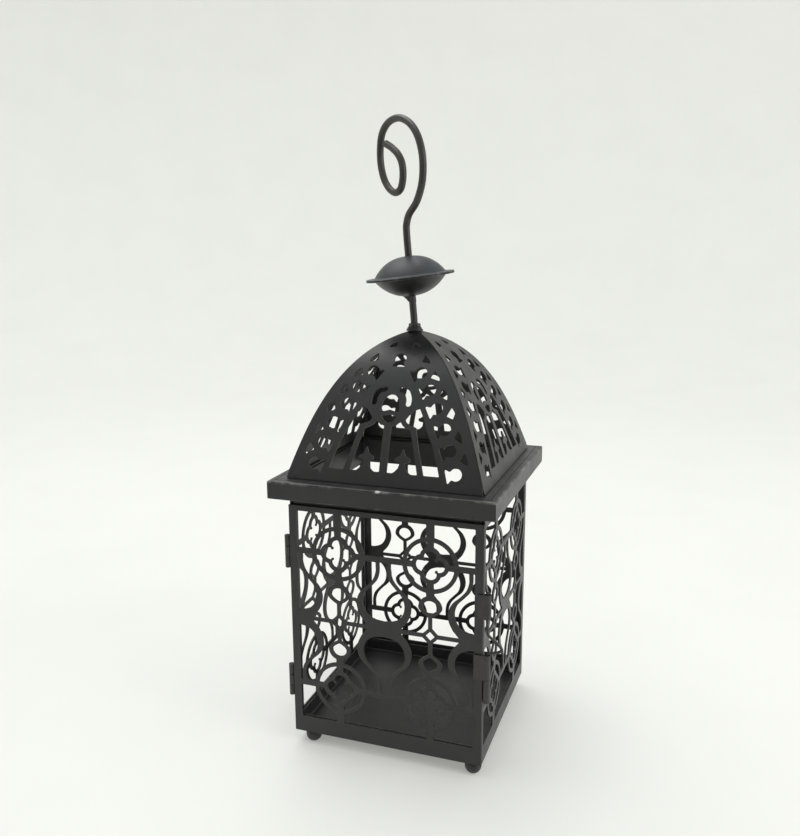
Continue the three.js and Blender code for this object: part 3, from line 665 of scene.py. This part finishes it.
def pattern_quarter():
    """The pattern's upper right quarter, which is mirrored into the other three."""
    plan = Plan((0, 0), QUARTER)
    x, y = ROSETTE
    rail = (RAIL_HEIGHT - RAIL_HALF, RAIL_HEIGHT + RAIL_HALF)
    for hoop in keyholes(plan, KEYHOLE_OUTER):
        plan.add(hoop)
    plan.add(plan.block((-1, rail[0]), (QUARTER[0] + 4, rail[1])))
    plan.add(plan.block((-1, -5), (QUARTER[0] + 4, MIDDLE_BAR_HALF)))
    plan.add(plan.disc(ROSETTE, RING[1]))
    plan.add(drop(plan, DROP_OUTER, DROP_OUTER_POINT))
    plan.add(plan.block((x - POST_HALF, DROP_HEIGHT + 6), (x + POST_HALF, y - 10)))
    plan.add(plan.block((x - DROP_STEM_HALF, -1), (x + DROP_STEM_HALF, DROP_HEIGHT - 5)))
    plan.add(plan.diamond((x, 0), DIAMOND[1]))
    for hole in keyholes(plan, KEYHOLE_INNER):
        plan.cut(hole)
    spoke = plan.block((x - SPOKE_HALF, y - RING[1] - 1), (x + SPOKE_HALF, y + RING[1] + 1))
    crossbar = plan.block((x - RING[1], rail[0]), (x + RING[1], rail[1]))
    inside = np.minimum.reduce([quatrefoil(plan, ROSETTE, LOBE_REACH, LOBE_OUTER), spoke, crossbar])
    plan.cut(np.maximum(plan.disc(ROSETTE, RING[0]), -inside))
    flower = quatrefoil(plan, ROSETTE, LOBE_REACH, LOBE_INNER)
    for dx in (-1, 1):
        for dy in (-1, 1):
            tip = (x + dx * TIP[0], y + dy * TIP[1])
            flower = np.maximum(flower, -plan.disc(tip, TIP_RADIUS))
    plan.cut(flower)
    plan.cut(drop(plan, DROP_INNER, DROP_INNER_POINT))
    plan.cut(plan.diamond((x, 0), DIAMOND[0]))
    plan.add(plan.block((x - POST_HALF, y + RING[0] + 1), (x + POST_HALF, QUARTER[1])))
    return plan


def wall_plan(quarter, width, height, panel):
    """A whole panel laid flat: the mirrored pattern inside its solid borders."""
    borders, opening, shift = panel
    half = width / 2
    plan = Plan((-half, -PATTERN_MIDDLE), (half, height - PATTERN_MIDDLE))
    columns = np.clip(np.rint(abs(plan.xs - shift) / GRID).astype(int) + 2, 0, len(quarter.xs) - 1)
    rows = np.clip(np.rint(abs(plan.ys) / GRID).astype(int) + 2, 0, len(quarter.ys) - 1)
    plan.metal = quarter.metal[np.ix_(rows, columns)].copy()
    window = plan.block((borders[0] - half, opening[0]), (half - borders[1], opening[1]))
    plan.add(-window)
    plan.soften(CORNER_SOFTENING)
    plan.keep(plan.block((-half, -PATTERN_MIDDLE), (half, height - PATTERN_MIDDLE)))
    return plan


def wall(name, quarter, body, turn):
    """A pierced sheet that stands upright, turned about Z."""
    low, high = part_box(name)
    size = (high - low) / MM
    sideways = abs(math.sin(turn)) > 0.5
    width, thickness = (size.y, size.x) if sideways else (size.x, size.y)
    loops = outlines(wall_plan(quarter, width, size.z, PANELS[name]))
    shape = plate(loops, -thickness / 2, thickness / 2, SHEET_EDGE)
    middle = (low + high) / 2
    stand = (Matrix.Translation((middle.x, middle.y, low.z)) @ Matrix.Rotation(turn, 4, "Z")
             @ Matrix.Rotation(math.pi / 2, 4, "X") @ Matrix.Scale(MM, 4)
             @ Matrix.Translation((0, PATTERN_MIDDLE, 0)))
    return piece(name + "_fine", moved(shape, stand), BLACK, body, name)


# ---- Roof ----
def dome_curve():
    """Half width and height of the roof at points along its curve, and how far along each one is."""
    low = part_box("roof_front")[0]
    base = (-low.y / MM, low.z / MM)
    crown_height = heights("apex_collar")[0] + CROWN_RISE
    handles = [np.array(p) for p in (base, DOME_SHOULDER, DOME_CROWN, (0.0, crown_height))]
    t = np.linspace(0, 1, CURVE_STEPS)[:, None]
    line = ((1 - t) ** 3 * handles[0] + 3 * (1 - t) ** 2 * t * handles[1]
            + 3 * (1 - t) * t ** 2 * handles[2] + t ** 3 * handles[3])
    along = np.concatenate([[0], np.cumsum(np.hypot(*np.diff(line, axis=0).T))])
    return line, along


# Each keyhole's middle and the angle of its tail, and the corners of each thorn beside the ridges.
ROOF_KEYS = ((46.4, 11, 196), (41.7, 24.8, 201), (36.8, 37.8, 201), (30, 50.6, 208), (23.8, 62.5, 208),
             (16, 74, 210), (0, 84.3, 270))
ROOF_THORNS = (
    ((50.5, 24.3), (53, 20.5), (53.3, 16.2), (47.7, 19.4)),
    ((45.2, 37.8), (47.7, 34), (48.4, 30), (42.9, 32.9)),
    ((39.2, 52), (41.9, 48.2), (42.2, 44), (36.7, 46.2)),
    ((32.3, 64), (35.2, 60), (35.8, 56.3), (30.2, 59.2)),
    ((24.4, 75.8), (27.8, 72.2), (29, 68.8), (22.5, 70.8)),
    ((15.6, 88), (18.9, 84.6), (20.4, 81), (14.6, 82.2)),
    ((5.9, 99.4), (9.2, 96.8), (10.7, 93.6), (5.2, 94.3)),
)
OUTER_ARCH = ((26.2, 8.8), (36.2, 8.8), (34.4, 15), (32.5, 20), (31.1, 25), (28.6, 30), (26.3, 35),
              (24.9, 38), (24, 40), (23, 43), (21.4, 46), (19.3, 50), (15.8, 48.5), (12.6, 44.9),
              (10.9, 42.3), (12, 40.5), (15, 39), (18.5, 37.8), (19.2, 35), (21.6, 25), (24.5, 15))
INNER_ARCH = ((2.5, 8.8), (22.2, 8.8), (20.7, 15), (18.1, 25), (15.3, 35), (14, 36), (11.6, 37), (9.5, 38.5),
              (8, 40.8), (6.5, 39.8), (5, 38.3), (2.5, 38))
CRESCENT = ((5.4, 61.7), (9.2, 60.2), (11.2, 56), (11.3, 52.6))
CRESCENT_HALF = 1.8
RING_HOLE = ((0, 49.1), 5.9, 9.3)
RING_BAR = ((-7, 45.5), (-3.2, 45.9), (0, 46.9), (3.2, 45.9), (7, 45.5))
RING_BAR_HALF = 1.3
FINIAL_X = 12
FINIAL_HALF = ((-6.5, 8.3), (-4.3, 10), (-2.5, 12), (-1.7, 15), (-1.5, 20.5))
FINIAL_POINT = 24.6
FINIAL_LEAF = ((2.3, 17.3), 2.8, 1.7)
FINIAL_CAP = ((-4.6, 17.6), (-1.5, 20.3), (1.5, 20.3), (4.6, 17.6))
KEY_HEAD = 3.9
KEY_HEAD_END = 132    # where the round head gives way to the tail, in degrees
KEY_TAIL = ((-3.4, 2.6), (-4.4, 3.3), (-5.4, 4.2), (-6.2, 4.3), (-6.4, 3.6))


def key_hole(x, y, tail):
    """Round hole with a waist and a flared tail that points along the tail angle."""
    angles = np.radians(np.linspace(-KEY_HEAD_END, KEY_HEAD_END, 22))
    head = [(KEY_HEAD * math.cos(a), KEY_HEAD * math.sin(a)) for a in angles]
    tail_line = [*KEY_TAIL, *((px, -py) for px, py in reversed(KEY_TAIL))]
    turn = math.radians(tail - 180)
    return [(x + px * math.cos(turn) - py * math.sin(turn), y + px * math.sin(turn) + py * math.cos(turn))
            for px, py in head + tail_line]


def finial(plan):
    """The pointed ornament that stands inside the inner arch."""
    flank = [*FINIAL_HALF, (0, FINIAL_POINT), *((-x, y) for x, y in reversed(FINIAL_HALF))]
    (reach, height), across, up = FINIAL_LEAF
    return np.minimum.reduce([
        plan.patch([(FINIAL_X + x, y) for x, y in flank]),
        plan.oval((FINIAL_X - reach, height), across, up),
        plan.oval((FINIAL_X + reach, height), across, up),
        plan.patch([(FINIAL_X + x, y) for x, y in FINIAL_CAP]),
    ])


def roof_plan(curve):
    """One roof panel laid flat. Its right half is drawn and the left one mirrors it."""
    line, along = curve
    length = along[-1]
    plan = Plan((0, 0), (line[0][0] + 1, length))
    half = np.interp(plan.y, along, line[:, 0])
    slope = np.interp(plan.y, along[:-1], -np.diff(line[:, 0]) / np.diff(along))
    corner_gap = ROOF_CORNER[0] * np.clip(1 - plan.y / ROOF_CORNER[1], 0, 1)
    plan.metal = (plan.x - half + RIDGE_GAP + corner_gap) / np.sqrt(1 + slope ** 2)
    plan.keep(-plan.y)
    for key in ROOF_KEYS:
        plan.cut(plan.patch(key_hole(*key)))
    for top, bulge, foot, inner in ROOF_THORNS:
        plan.cut(plan.patch(smooth_line([top, bulge, foot], steps=5) + [inner]))
    plan.cut(plan.patch(OUTER_ARCH))
    plan.cut(np.maximum(plan.patch(INNER_ARCH), -finial(plan)))
    plan.cut(plan.stroke(smooth_line(CRESCENT), CRESCENT_HALF))
    plan.cut(np.maximum(plan.oval(*RING_HOLE), -plan.stroke(RING_BAR, RING_BAR_HALF)))
    plan.cut(plan.disc((0, length), APEX_HOLE))
    whole = Plan((-line[0][0] - 1, 0), (line[0][0] + 1, length))
    columns = np.clip(np.rint(abs(whole.xs) / GRID).astype(int) + 2, 0, len(plan.xs) - 1)
    whole.metal = plan.metal[np.ix_(np.arange(len(plan.ys)), columns)]
    whole.soften(CORNER_SOFTENING)
    return whole


def bent(shape, curve):
    """Bends the flat roof panel along its curve. Z is the sheet's thickness, with its outer face at 0."""
    line, along = curve
    slope = np.gradient(line, along, axis=0)
    for vertex in shape.verts:
        x, s, depth = vertex.co
        place = [np.interp(s, along, line[:, k]) for k in (0, 1)]
        run = [np.interp(s, along, slope[:, k]) for k in (0, 1)]
        size = math.hypot(*run)
        half = place[0] + depth * run[1] / size
        reach = max(half - RIDGE_GAP, 0.0)
        vertex.co = (min(max(x, -reach), reach), -half, place[1] - depth * run[0] / size)
    return shape


def roof():
    curve = dome_curve()
    loops = outlines(roof_plan(curve))
    for k, side in enumerate(SIDES):
        shape = plate(loops, -SHEET, 0, SHEET_EDGE)
        for step in range(1, int(curve[1][-1] / ROOF_STEP)):
            everything = shape.verts[:] + shape.edges[:] + shape.faces[:]
            bmesh.ops.bisect_plane(shape, geom=everything, dist=1e-4, plane_co=(0, step * ROOF_STEP, 0),
                                   plane_no=(0, 1, 0))
        bent(shape, curve)
        moved(shape, Matrix.Rotation(k * math.pi / 2, 4, "Z") @ Matrix.Scale(MM, 4))
        piece(f"roof_{side}_fine", shape, BLACK, "lantern_body", f"roof_{side}")


# ---- Eaves ----
def eave_profile(low, high):
    """Half width, height and wear round the folded strip: skirt, fold, ledge with a fine groove, back. The
    lightening along the groove's lips is a painted highlight.
    """
    top = high.z / MM
    edge = -low.y / MM
    bottom = low.z / MM
    under = top - EAVE_RISE - SHEET
    fold = (edge - EAVE_FOLD, top - EAVE_RISE - EAVE_FOLD)

    def ledge(half):
        return top - EAVE_RISE * (half - EAVE_INNER) / (edge - EAVE_INNER)

    # The groove's two lips get 0.2 so that the paint lightens along them: a painted highlight, not rubbed
    # paint.
    groove = EAVE_GROOVE
    return ([(edge - 0.9, bottom, 0.3), (edge - 0.3, bottom, 0.5), (edge, bottom + 0.3, 0.4),
             (edge, bottom + 1, 0), (edge, fold[1] - 0.8, 0)]
            + bend_arc(fold, EAVE_FOLD, 0, 90, 5, 1.0)
            + [(fold[0] - 0.6, ledge(fold[0] - 0.6), 0), (groove + 0.2, ledge(groove), 0.2),
               (groove + 0.1, ledge(groove) - 0.3, 0), (groove - 0.1, ledge(groove) - 0.3, 0),
               (groove - 0.2, ledge(groove), 0.2), (EAVE_INNER, top, 0), (EAVE_INNER, top - SHEET, 0),
               (edge - SHEET - 0.5, under, 0), (edge - SHEET, under - 0.5, 0),
               (edge - SHEET, bottom + 0.3, 0)])


def eave_wear_and_highlight(x, strip_number):
    """How rubbed the eave is at x: patchy along it, more so at its corners, and a chip on the front one. It
    scales the painted highlight along the groove in the same way.
    """
    patchy = (0.5 + 1.1 * noise.noise(Vector((x * 0.11, strip_number * 7.3, 0)))
              + 0.5 * noise.noise(Vector((x * 0.6, strip_number * 3.1, 4))))
    corner = 0.5 * max(0.0, abs(x) - EAVE_CORNER)
    chip = 3.0 * math.exp(-((x - CHIP_PLACE) / CHIP_REACH) ** 2) if strip_number == 0 else 0.0
    return min(max(patchy, 0.0), 1.0) + corner + chip


def eaves():
    profile = eave_profile(*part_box("eave_front"))
    for k, side in enumerate(SIDES):
        rings = []
        for share in np.linspace(-1, 1, EAVE_STATIONS):
            ring = []
            for half, height, rubbed in profile:
                x = share * (half - EAVE_MITRE)
                ring.append((x, -half, height, rubbed * eave_wear_and_highlight(x, k)))
            rings.append(ring)
        turn = Matrix.Rotation(k * math.pi / 2, 4, "Z")
        fitted("eave_" + side, moved(rings_joined(rings), turn))


# ---- Tray, frame and feet ----
def rounded_box(low, high, inset, corner):
    """Points round a rectangle with rounded corners, drawn in by the inset."""
    radius = max(corner - inset, 0.15)
    reach = inset + radius
    points = []
    for sx, sy, start in ((1, 1, 0), (-1, 1, 90), (-1, -1, 180), (1, -1, 270)):
        middle = ((high.x if sx > 0 else low.x) / MM - sx * reach,
                  (high.y if sy > 0 else low.y) / MM - sy * reach)
        points += bend_arc(middle, radius, start, start + 90, 5)
    return points


def pan():
    """The tray's section as inset, height and wear: under it, up its bend, over its lip and down inside."""
    low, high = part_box("base_tray")
    bottom, top = heights("base_tray")
    outer, inner = TRAY_BEND, TRAY_INNER_BEND
    floor_top = bottom + SHEET
    profile = ([(outer + 6, bottom, 0), (outer, bottom, 0)]
               + [(outer - outer * math.sin(a), bottom + outer - outer * math.cos(a), 0.4)
                  for a in np.linspace(0, math.pi / 2, 5)[1:]]
               + [(inset, top + lift, rubbed) for inset, lift, rubbed in TRAY_LIP_EDGE]
               + [(SHEET + inner - inner * math.cos(a), floor_top + inner - inner * math.sin(a), 0)
                  for a in np.linspace(0, math.pi / 2, 6)]
               + [(SHEET + 8, floor_top, 0)])
    rings = [[(x, y, z, rubbed) for x, y in rounded_box(low, high, inset, TRAY_BEND)]
             for inset, z, rubbed in profile]
    fitted("base_tray", rings_joined(rings))


def upper_frame():
    low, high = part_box("top_frame")
    bottom, top = heights("top_frame")
    edge = FRAME_EDGE
    profile = ((edge, bottom), (0, bottom + edge), (0, top - edge), (edge, top), (SHEET - edge, top),
               (SHEET, top - edge), (SHEET, bottom + edge), (SHEET - edge, bottom))
    rings = [[(x, y, z, 0) for x, y in rounded_box(low, high, inset, FRAME_BEND)] for inset, z in profile]
    fitted("top_frame", rings_joined(rings, True))


def feet():
    """Balls welded under the tray, each with a worn flat where it stands and an uneven bead at its neck."""
    for side in ("front_left", "front_right", "back_left", "back_right"):
        low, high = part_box("foot_" + side)
        radius = (high.x - low.x) / MM / 2
        top = high.z / MM
        flat = math.asin(FOOT_FLAT / radius)
        centre = radius * math.cos(flat)
        neck = math.acos((centre - top + FOOT_NECK) / radius)
        profile = [(0, 0, 1), (FOOT_FLAT, 0, 1)]
        for angle in np.linspace(flat, neck, 22)[1:]:
            profile.append((radius * math.sin(angle), centre - radius * math.cos(angle), 0))
        neck_radius = profile[-1][0]
        profile += [(neck_radius + out, top + lift, rubbed) for out, lift, rubbed in FOOT_BEAD]
        profile.append((0, top, 0))
        shape = turning(profile, 48)
        spot = (low + high) / 2 / MM
        for vertex in shape.verts:
            if vertex.co.z > top + FOOT_BEAD[0][1] - 0.05:
                sample = Vector((vertex.co.x * 0.7 + spot.x, vertex.co.y * 0.7 + spot.y, 1))
                push = 1 + 0.07 * noise.noise(sample)
                vertex.co.x *= push
                vertex.co.y *= push
        fitted("foot_" + side, moved(shape, Matrix.Translation((spot.x, spot.y, 0))))


# ---- Hook, disc and nuts ----
def turned(distance, degrees):
    """A level vector of that length, turned from the X axis."""
    angle = math.radians(degrees)
    return Vector((distance * math.cos(angle), distance * math.sin(angle), 0))


def hook():
    """The rod rises through the crown, leans over to its top and goes on into the curl."""
    top = ROD_TOP[1]
    side = turned(ROD_TOP[0], LEAN_TURN)
    points = [Vector((0, 0, heights("hook_rod")[0])), Vector((0, 0, ROD_LEAN_START - 4))]
    for share, height in ((0.05, ROD_LEAN_START + 3), (0.5, (ROD_LEAN_START + top) / 2), (1, top)):
        points.append(side * share + Vector((0, 0, height)))
    points += [points[4] + turned(along, HOOK_TURN) + Vector((0, 0, up)) for along, up in HOOK]
    fitted("hook_rod", rod(wire_line(points, 8), WIRE_RADIUS, 24, 0.6))


def shell_profile(rise, flatness):
    """Dished sheet with a flat rim, as radius, height and wear round its section."""
    low = DISC_SEAM
    high = low + DISC_SHEET

    def dome(radius):
        return rise * (1 - (radius / DISC_DOME) ** flatness) ** DISC_FLANK

    bore_angle = math.asin(DISC_BORE / DISC_DOME)
    radii = DISC_DOME * np.sin(np.linspace(bore_angle, math.radians(DISC_FOOT), 26))
    outside = [(r, max(high + dome(r), high), 0) for r in radii]
    foot, foot_height, _ = outside[-1]
    outside += [(foot + 0.4, high + (foot_height - high) * 0.45, 0), (foot + 0.9, high + 0.12, 0),
                (foot + 1.6, high, 0)]
    rim = [(DISC_REACH + out, low + DISC_SHEET * share + lift, rubbed)
           for out, share, lift, rubbed in DISC_RIM]
    inside = [(foot + 0.8, low, 0)]
    inside += [(r - 0.3, max(low + dome(r) - 0.2, low), 0) for r in radii[:0:-1]]
    inside.append((DISC_BORE, low + dome(DISC_BORE) - 0.2, 0))
    return outside + rim + inside


def disc():
    """Two dished shells, rim to rim, and a lopsided lump of weld that holds them to the rod from below."""
    axis = turned(1, LEAN_TURN - 90)
    place = (Matrix.Translation(turned(DISC_SHIFT, LEAN_TURN) + Vector((0, 0, DISC_HEIGHT)))
             @ Matrix.Rotation(math.radians(DISC_TILT), 4, axis))
    upper = turning(shell_profile(*DISC_SHAPES[0]), 120, True)
    fitted("disc_upper_shell", moved(upper, place))
    lower = turning(shell_profile(*DISC_SHAPES[1]), 120, True)
    fitted("disc_lower_shell", moved(lower, place @ Matrix.Rotation(math.pi, 4, "X")))
    weld = turning([(DISC_BORE + out, height) for out, height in DISC_WELD], 40, True)
    core = DISC_BORE - DISC_WELD_CORE
    for vertex in weld.verts:
        aside = vertex.co.xy.length
        leftward = max(0.0, -vertex.co.xy.normalized().dot(turned(1, LEAN_TURN).xy))
        reach = core + (aside - core) * leftward ** 1.5
        lump = 1 + 0.05 * noise.noise(vertex.co * 0.9)
        vertex.co.x *= reach / aside * lump
        vertex.co.y *= reach / aside * lump
    under = place @ Matrix.Translation((0, 0, -DISC_SHAPES[1][0] - DISC_SEAM - DISC_SHEET))
    piece("disc_weld", moved(weld, Matrix.Scale(MM, 4) @ under), BLACK, "lantern_body")


def nut(name):
    """Hexagonal nut with its corners turned down at both ends."""
    bottom, top = heights(name)
    corner = NUT_FLATS / math.sqrt(3)
    bore = NUT_BORE / corner
    sides = 72
    rings = []
    section = ([(bottom + depth, ball) for depth, ball in NUT_ENDS]
               + [(top - depth, ball) for depth, ball in reversed(NUT_ENDS)]
               + [(top, bore + 0.06), (top - 0.3, bore), (bottom + 0.3, bore), (bottom, bore + 0.06)])
    for height, ball in section:
        ring = []
        for k in range(sides):
            angle = 2 * math.pi * (k + 0.5) / sides
            off_flat = (angle + math.pi / 6) % (math.pi / 3) - math.pi / 6
            hexagon = min(NUT_FLATS / 2 / math.cos(off_flat), corner * 0.985)
            reach = min(hexagon, ball * corner)
            spot = turned(reach, math.degrees(angle) + NUT_TURN)
            ring.append((spot.x, spot.y, height, 0.5 if ball < 1 and reach > NUT_BORE + 0.5 else 0.0))
        rings.append(ring)
    fitted(name, rings_joined(rings, True))


def crown():
    """Washer inside the crown, and the lump of weld that climbs the nut above it."""
    low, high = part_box("inner_washer")
    bottom, top = heights("inner_washer")
    reach = (high.x - low.x) / MM / 2
    bore = NUT_BORE + 0.1
    washer = turning([(bore, bottom), (reach - 0.2, bottom), (reach, bottom + 0.2), (reach, top - 0.2),
                      (reach - 0.2, top), (bore, top)], 48, True)
    fitted("inner_washer", washer)
    low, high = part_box("apex_collar")
    foot, top = heights("apex_collar")
    reach = (high.x - low.x) / MM / 2
    weld = turning([(bore, foot + 0.6)] + [(reach + out, foot + up) for out, up in COLLAR_FOOT]
                   + [(radius, top + up) for radius, up in COLLAR_CLIMB] + [(bore, top + 1.6)], 56, True)
    fitted("apex_collar", lumpy(weld, 0.05, 0.8))


# ---- Hinges and latch ----
def rolled(*runs):
    """Bent strips that stand along Z. Each run is a line along the strip's middle, its bottom and its top."""
    whole = bmesh.new()
    whole.verts.layers.float.new("wear_and_highlight")
    for line, low, high in runs:
        mesh = mesh_of("part", plate([strip(line, LEAF)], low, high, LEAF_EDGE))
        whole.from_mesh(mesh)
        bpy.data.meshes.remove(mesh)
    return whole


def hinges():
    x, y = HINGE_AXIS
    side_x, front_y = x + HINGE_ROLL, y - HINGE_ROLL
    body_roll = [(side_x, y + 4), (side_x, y + 2)] + bend_arc((x, y), HINGE_ROLL, 0, -330, 40)
    door_roll = [(x + 1.9, front_y), (x + 1, front_y)] + bend_arc((x, y), HINGE_ROLL, -90, -420, 40)
    for side in ("upper", "lower"):
        name = f"hinge_{side}_"
        low, high = heights(name + "body_leaf")
        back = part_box(name + "body_leaf")[1].y / MM
        knuckle = (high - low - 2 * HINGE_GAP) / 3
        flat = [(side_x, back), (side_x, y + 8), (side_x, y + 2.9)]
        leaf = rolled((body_roll, low, low + knuckle), (body_roll, high - knuckle, high), (flat, low, high))
        fitted(name + "body_leaf", leaf)
        fitted(name + "door_knuckle", rolled((door_roll, *heights(name + "door_knuckle"))), "door")
        pin = [(x, y, z) for z in np.linspace(*heights(name + "pin"), 6)]
        fitted(name + "pin", rod(pin, HINGE_PIN, 24, 0.4))


def latch():
    """Two loops on the door, the keeper on the body and the pin."""
    x, y = LATCH_AXIS
    for name in ("latch_upper_loop", "latch_lower_loop"):
        tab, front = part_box(name)[0].x / MM, y - LATCH_ROLL
        roll = [(tab, front), (x - 1.5, front)] + bend_arc((x, y), LATCH_ROLL, -90, 235, 40)
        fitted(name, rolled((roll, *heights(name))), "door")
    back, wall_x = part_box("latch_keeper")[1].y / MM, x - LATCH_ROLL
    roll = [(wall_x, back), (wall_x, y + 1.5)] + bend_arc((x, y), LATCH_ROLL, 180, 505, 40)
    fitted("latch_keeper", rolled((roll, *heights("latch_keeper"))))
    bend = [(x + dx, y + dy, z) for dx, dy, z in LATCH_BEND]
    fitted("latch_pin", rod(wire_line(bend, 8), LATCH_PIN, 20, 0.35), "latch_pin")


quarter = pattern_quarter()
wall("door_panel", quarter, "door", 0)
for name, turn in (("left_wall", -math.pi / 2), ("right_wall", math.pi / 2), ("back_wall", math.pi)):
    wall(name, quarter, "lantern_body", turn)
roof()
eaves()
pan()
upper_frame()
feet()
hook()
disc()
nut("hook_nut")
nut("inner_nut")
crown()
hinges()
latch()


# ---- Camera, floor and light ----
def camera():
    """The camera stands at CAMERA_PLACE, turned by its azimuth, tipped down and rolled."""
    azimuth, down, roll = (math.radians(a) for a in (CAMERA_AZIMUTH, CAMERA_DOWN, CAMERA_ROLL))
    back = Vector((math.sin(azimuth) * math.cos(down), -math.cos(azimuth) * math.cos(down), math.sin(down)))
    level = (-back).cross(Vector((0, 0, 1))).normalized()
    upright = level.cross(-back)
    right = level * math.cos(roll) + upright * math.sin(roll)
    up = upright * math.cos(roll) - level * math.sin(roll)
    lens = bpy.data.cameras.new("camera")
    lens.lens = CAMERA_LENS
    lens.sensor_width = CAMERA_SENSOR
    lens.clip_start = 0.01
    holder = bpy.data.objects.new("camera", lens)
    holder.matrix_world = Matrix.Translation(CAMERA_PLACE) @ Matrix((right, up, back)).transposed().to_4x4()
    bpy.context.scene.collection.objects.link(holder)
    bpy.context.scene.camera = holder


def staged(mesh, material):
    """Puts a mesh in the scene as part of the studio."""
    mesh.materials.append(material)
    obj = bpy.data.objects.new(mesh.name, mesh)
    bpy.context.scene.collection.objects.link(obj)
    return obj


def floor():
    """A pale floor that sweeps up all round into a pale wall, so that no edge shows from any side."""
    profile = [(0.0, 0.0), (0.2, 0.0), (0.6, 0.0)]
    for k in range(13):
        angle = math.radians(90 * k / 12)
        height = FLOOR_BEND - FLOOR_BEND * math.cos(angle)
        profile.append((FLOOR_REACH + FLOOR_BEND * math.sin(angle), height))
    profile.append((FLOOR_REACH + FLOOR_BEND, FLOOR_TOP))
    mesh = mesh_of("floor", turning(profile, 96))
    mesh.shade_smooth()
    material, tree, shader = principled("floor_pale")
    shader.inputs["Roughness"].default_value = 0.6
    cloud = tree.nodes.new("ShaderNodeTexNoise")
    cloud.inputs["Scale"].default_value = 9
    cloud.inputs["Detail"].default_value = 5
    colours = tree.nodes.new("ShaderNodeValToRGB")
    for element, (position, colour) in zip(colours.color_ramp.elements, FLOOR_COLOURS):
        element.position = position
        element.color = colour
    place = tree.nodes.new("ShaderNodeTexCoord")
    tree.links.new(place.outputs["Object"], cloud.inputs["Vector"])
    tree.links.new(cloud.outputs["Fac"], colours.inputs["Fac"])
    tree.links.new(colours.outputs["Color"], shader.inputs["Base Color"])
    shader.inputs["Emission Color"].default_value = FLOOR_GLOW[0]
    shader.inputs["Emission Strength"].default_value = FLOOR_GLOW[1]
    staged(mesh, material)


def lights():
    """An even sky and two round lamps, which no camera sees."""
    world = bpy.data.worlds.new("world")
    world.use_nodes = True
    sky = world.node_tree.nodes["Background"]
    sky.inputs["Color"].default_value = SKY[0]
    sky.inputs["Strength"].default_value = SKY[1]
    bpy.context.scene.world = world
    for name, place, size, power in LAMPS:
        lamp = bpy.data.lights.new(name, "AREA")
        lamp.shape = "DISK"
        lamp.size = size
        lamp.energy = power
        lamp.color = LAMP_COLOUR
        holder = bpy.data.objects.new(name, lamp)
        holder.location = place
        holder.rotation_euler = (Vector(LAMP_AIM) - Vector(place)).to_track_quat("-Z", "Y").to_euler()
        holder.visible_camera = False
        bpy.context.scene.collection.objects.link(holder)


def dark_card():
    """A curved dark card behind the camera. Only reflections see it."""
    shape = bmesh.new()
    rows = []
    for k in range(25):
        angle = math.radians(-90 + CAMERA_AZIMUTH - CARD_SPREAD + 2 * CARD_SPREAD * k / 24)
        spot = Vector((math.cos(angle), math.sin(angle), 0)) * CARD_DISTANCE
        rows.append([shape.verts.new(spot + Vector((0, 0, z))) for z in CARD_HEIGHTS])
    for left, right in zip(rows, rows[1:]):
        for low in (0, 1):
            shape.faces.new((left[low], right[low], right[low + 1], left[low + 1]))
    material, _, shader = principled("card_dark")
    shader.inputs["Base Color"].default_value = (0.03, 0.03, 0.03, 1)
    shader.inputs["Roughness"].default_value = 0.9
    card = staged(mesh_of("dark_card", shape), material)
    card.visible_camera = False
    card.visible_diffuse = False
    card.visible_shadow = False


camera()
floor()
dark_card()
lights()
bpy.context.scene.view_settings.view_transform = "Standard"
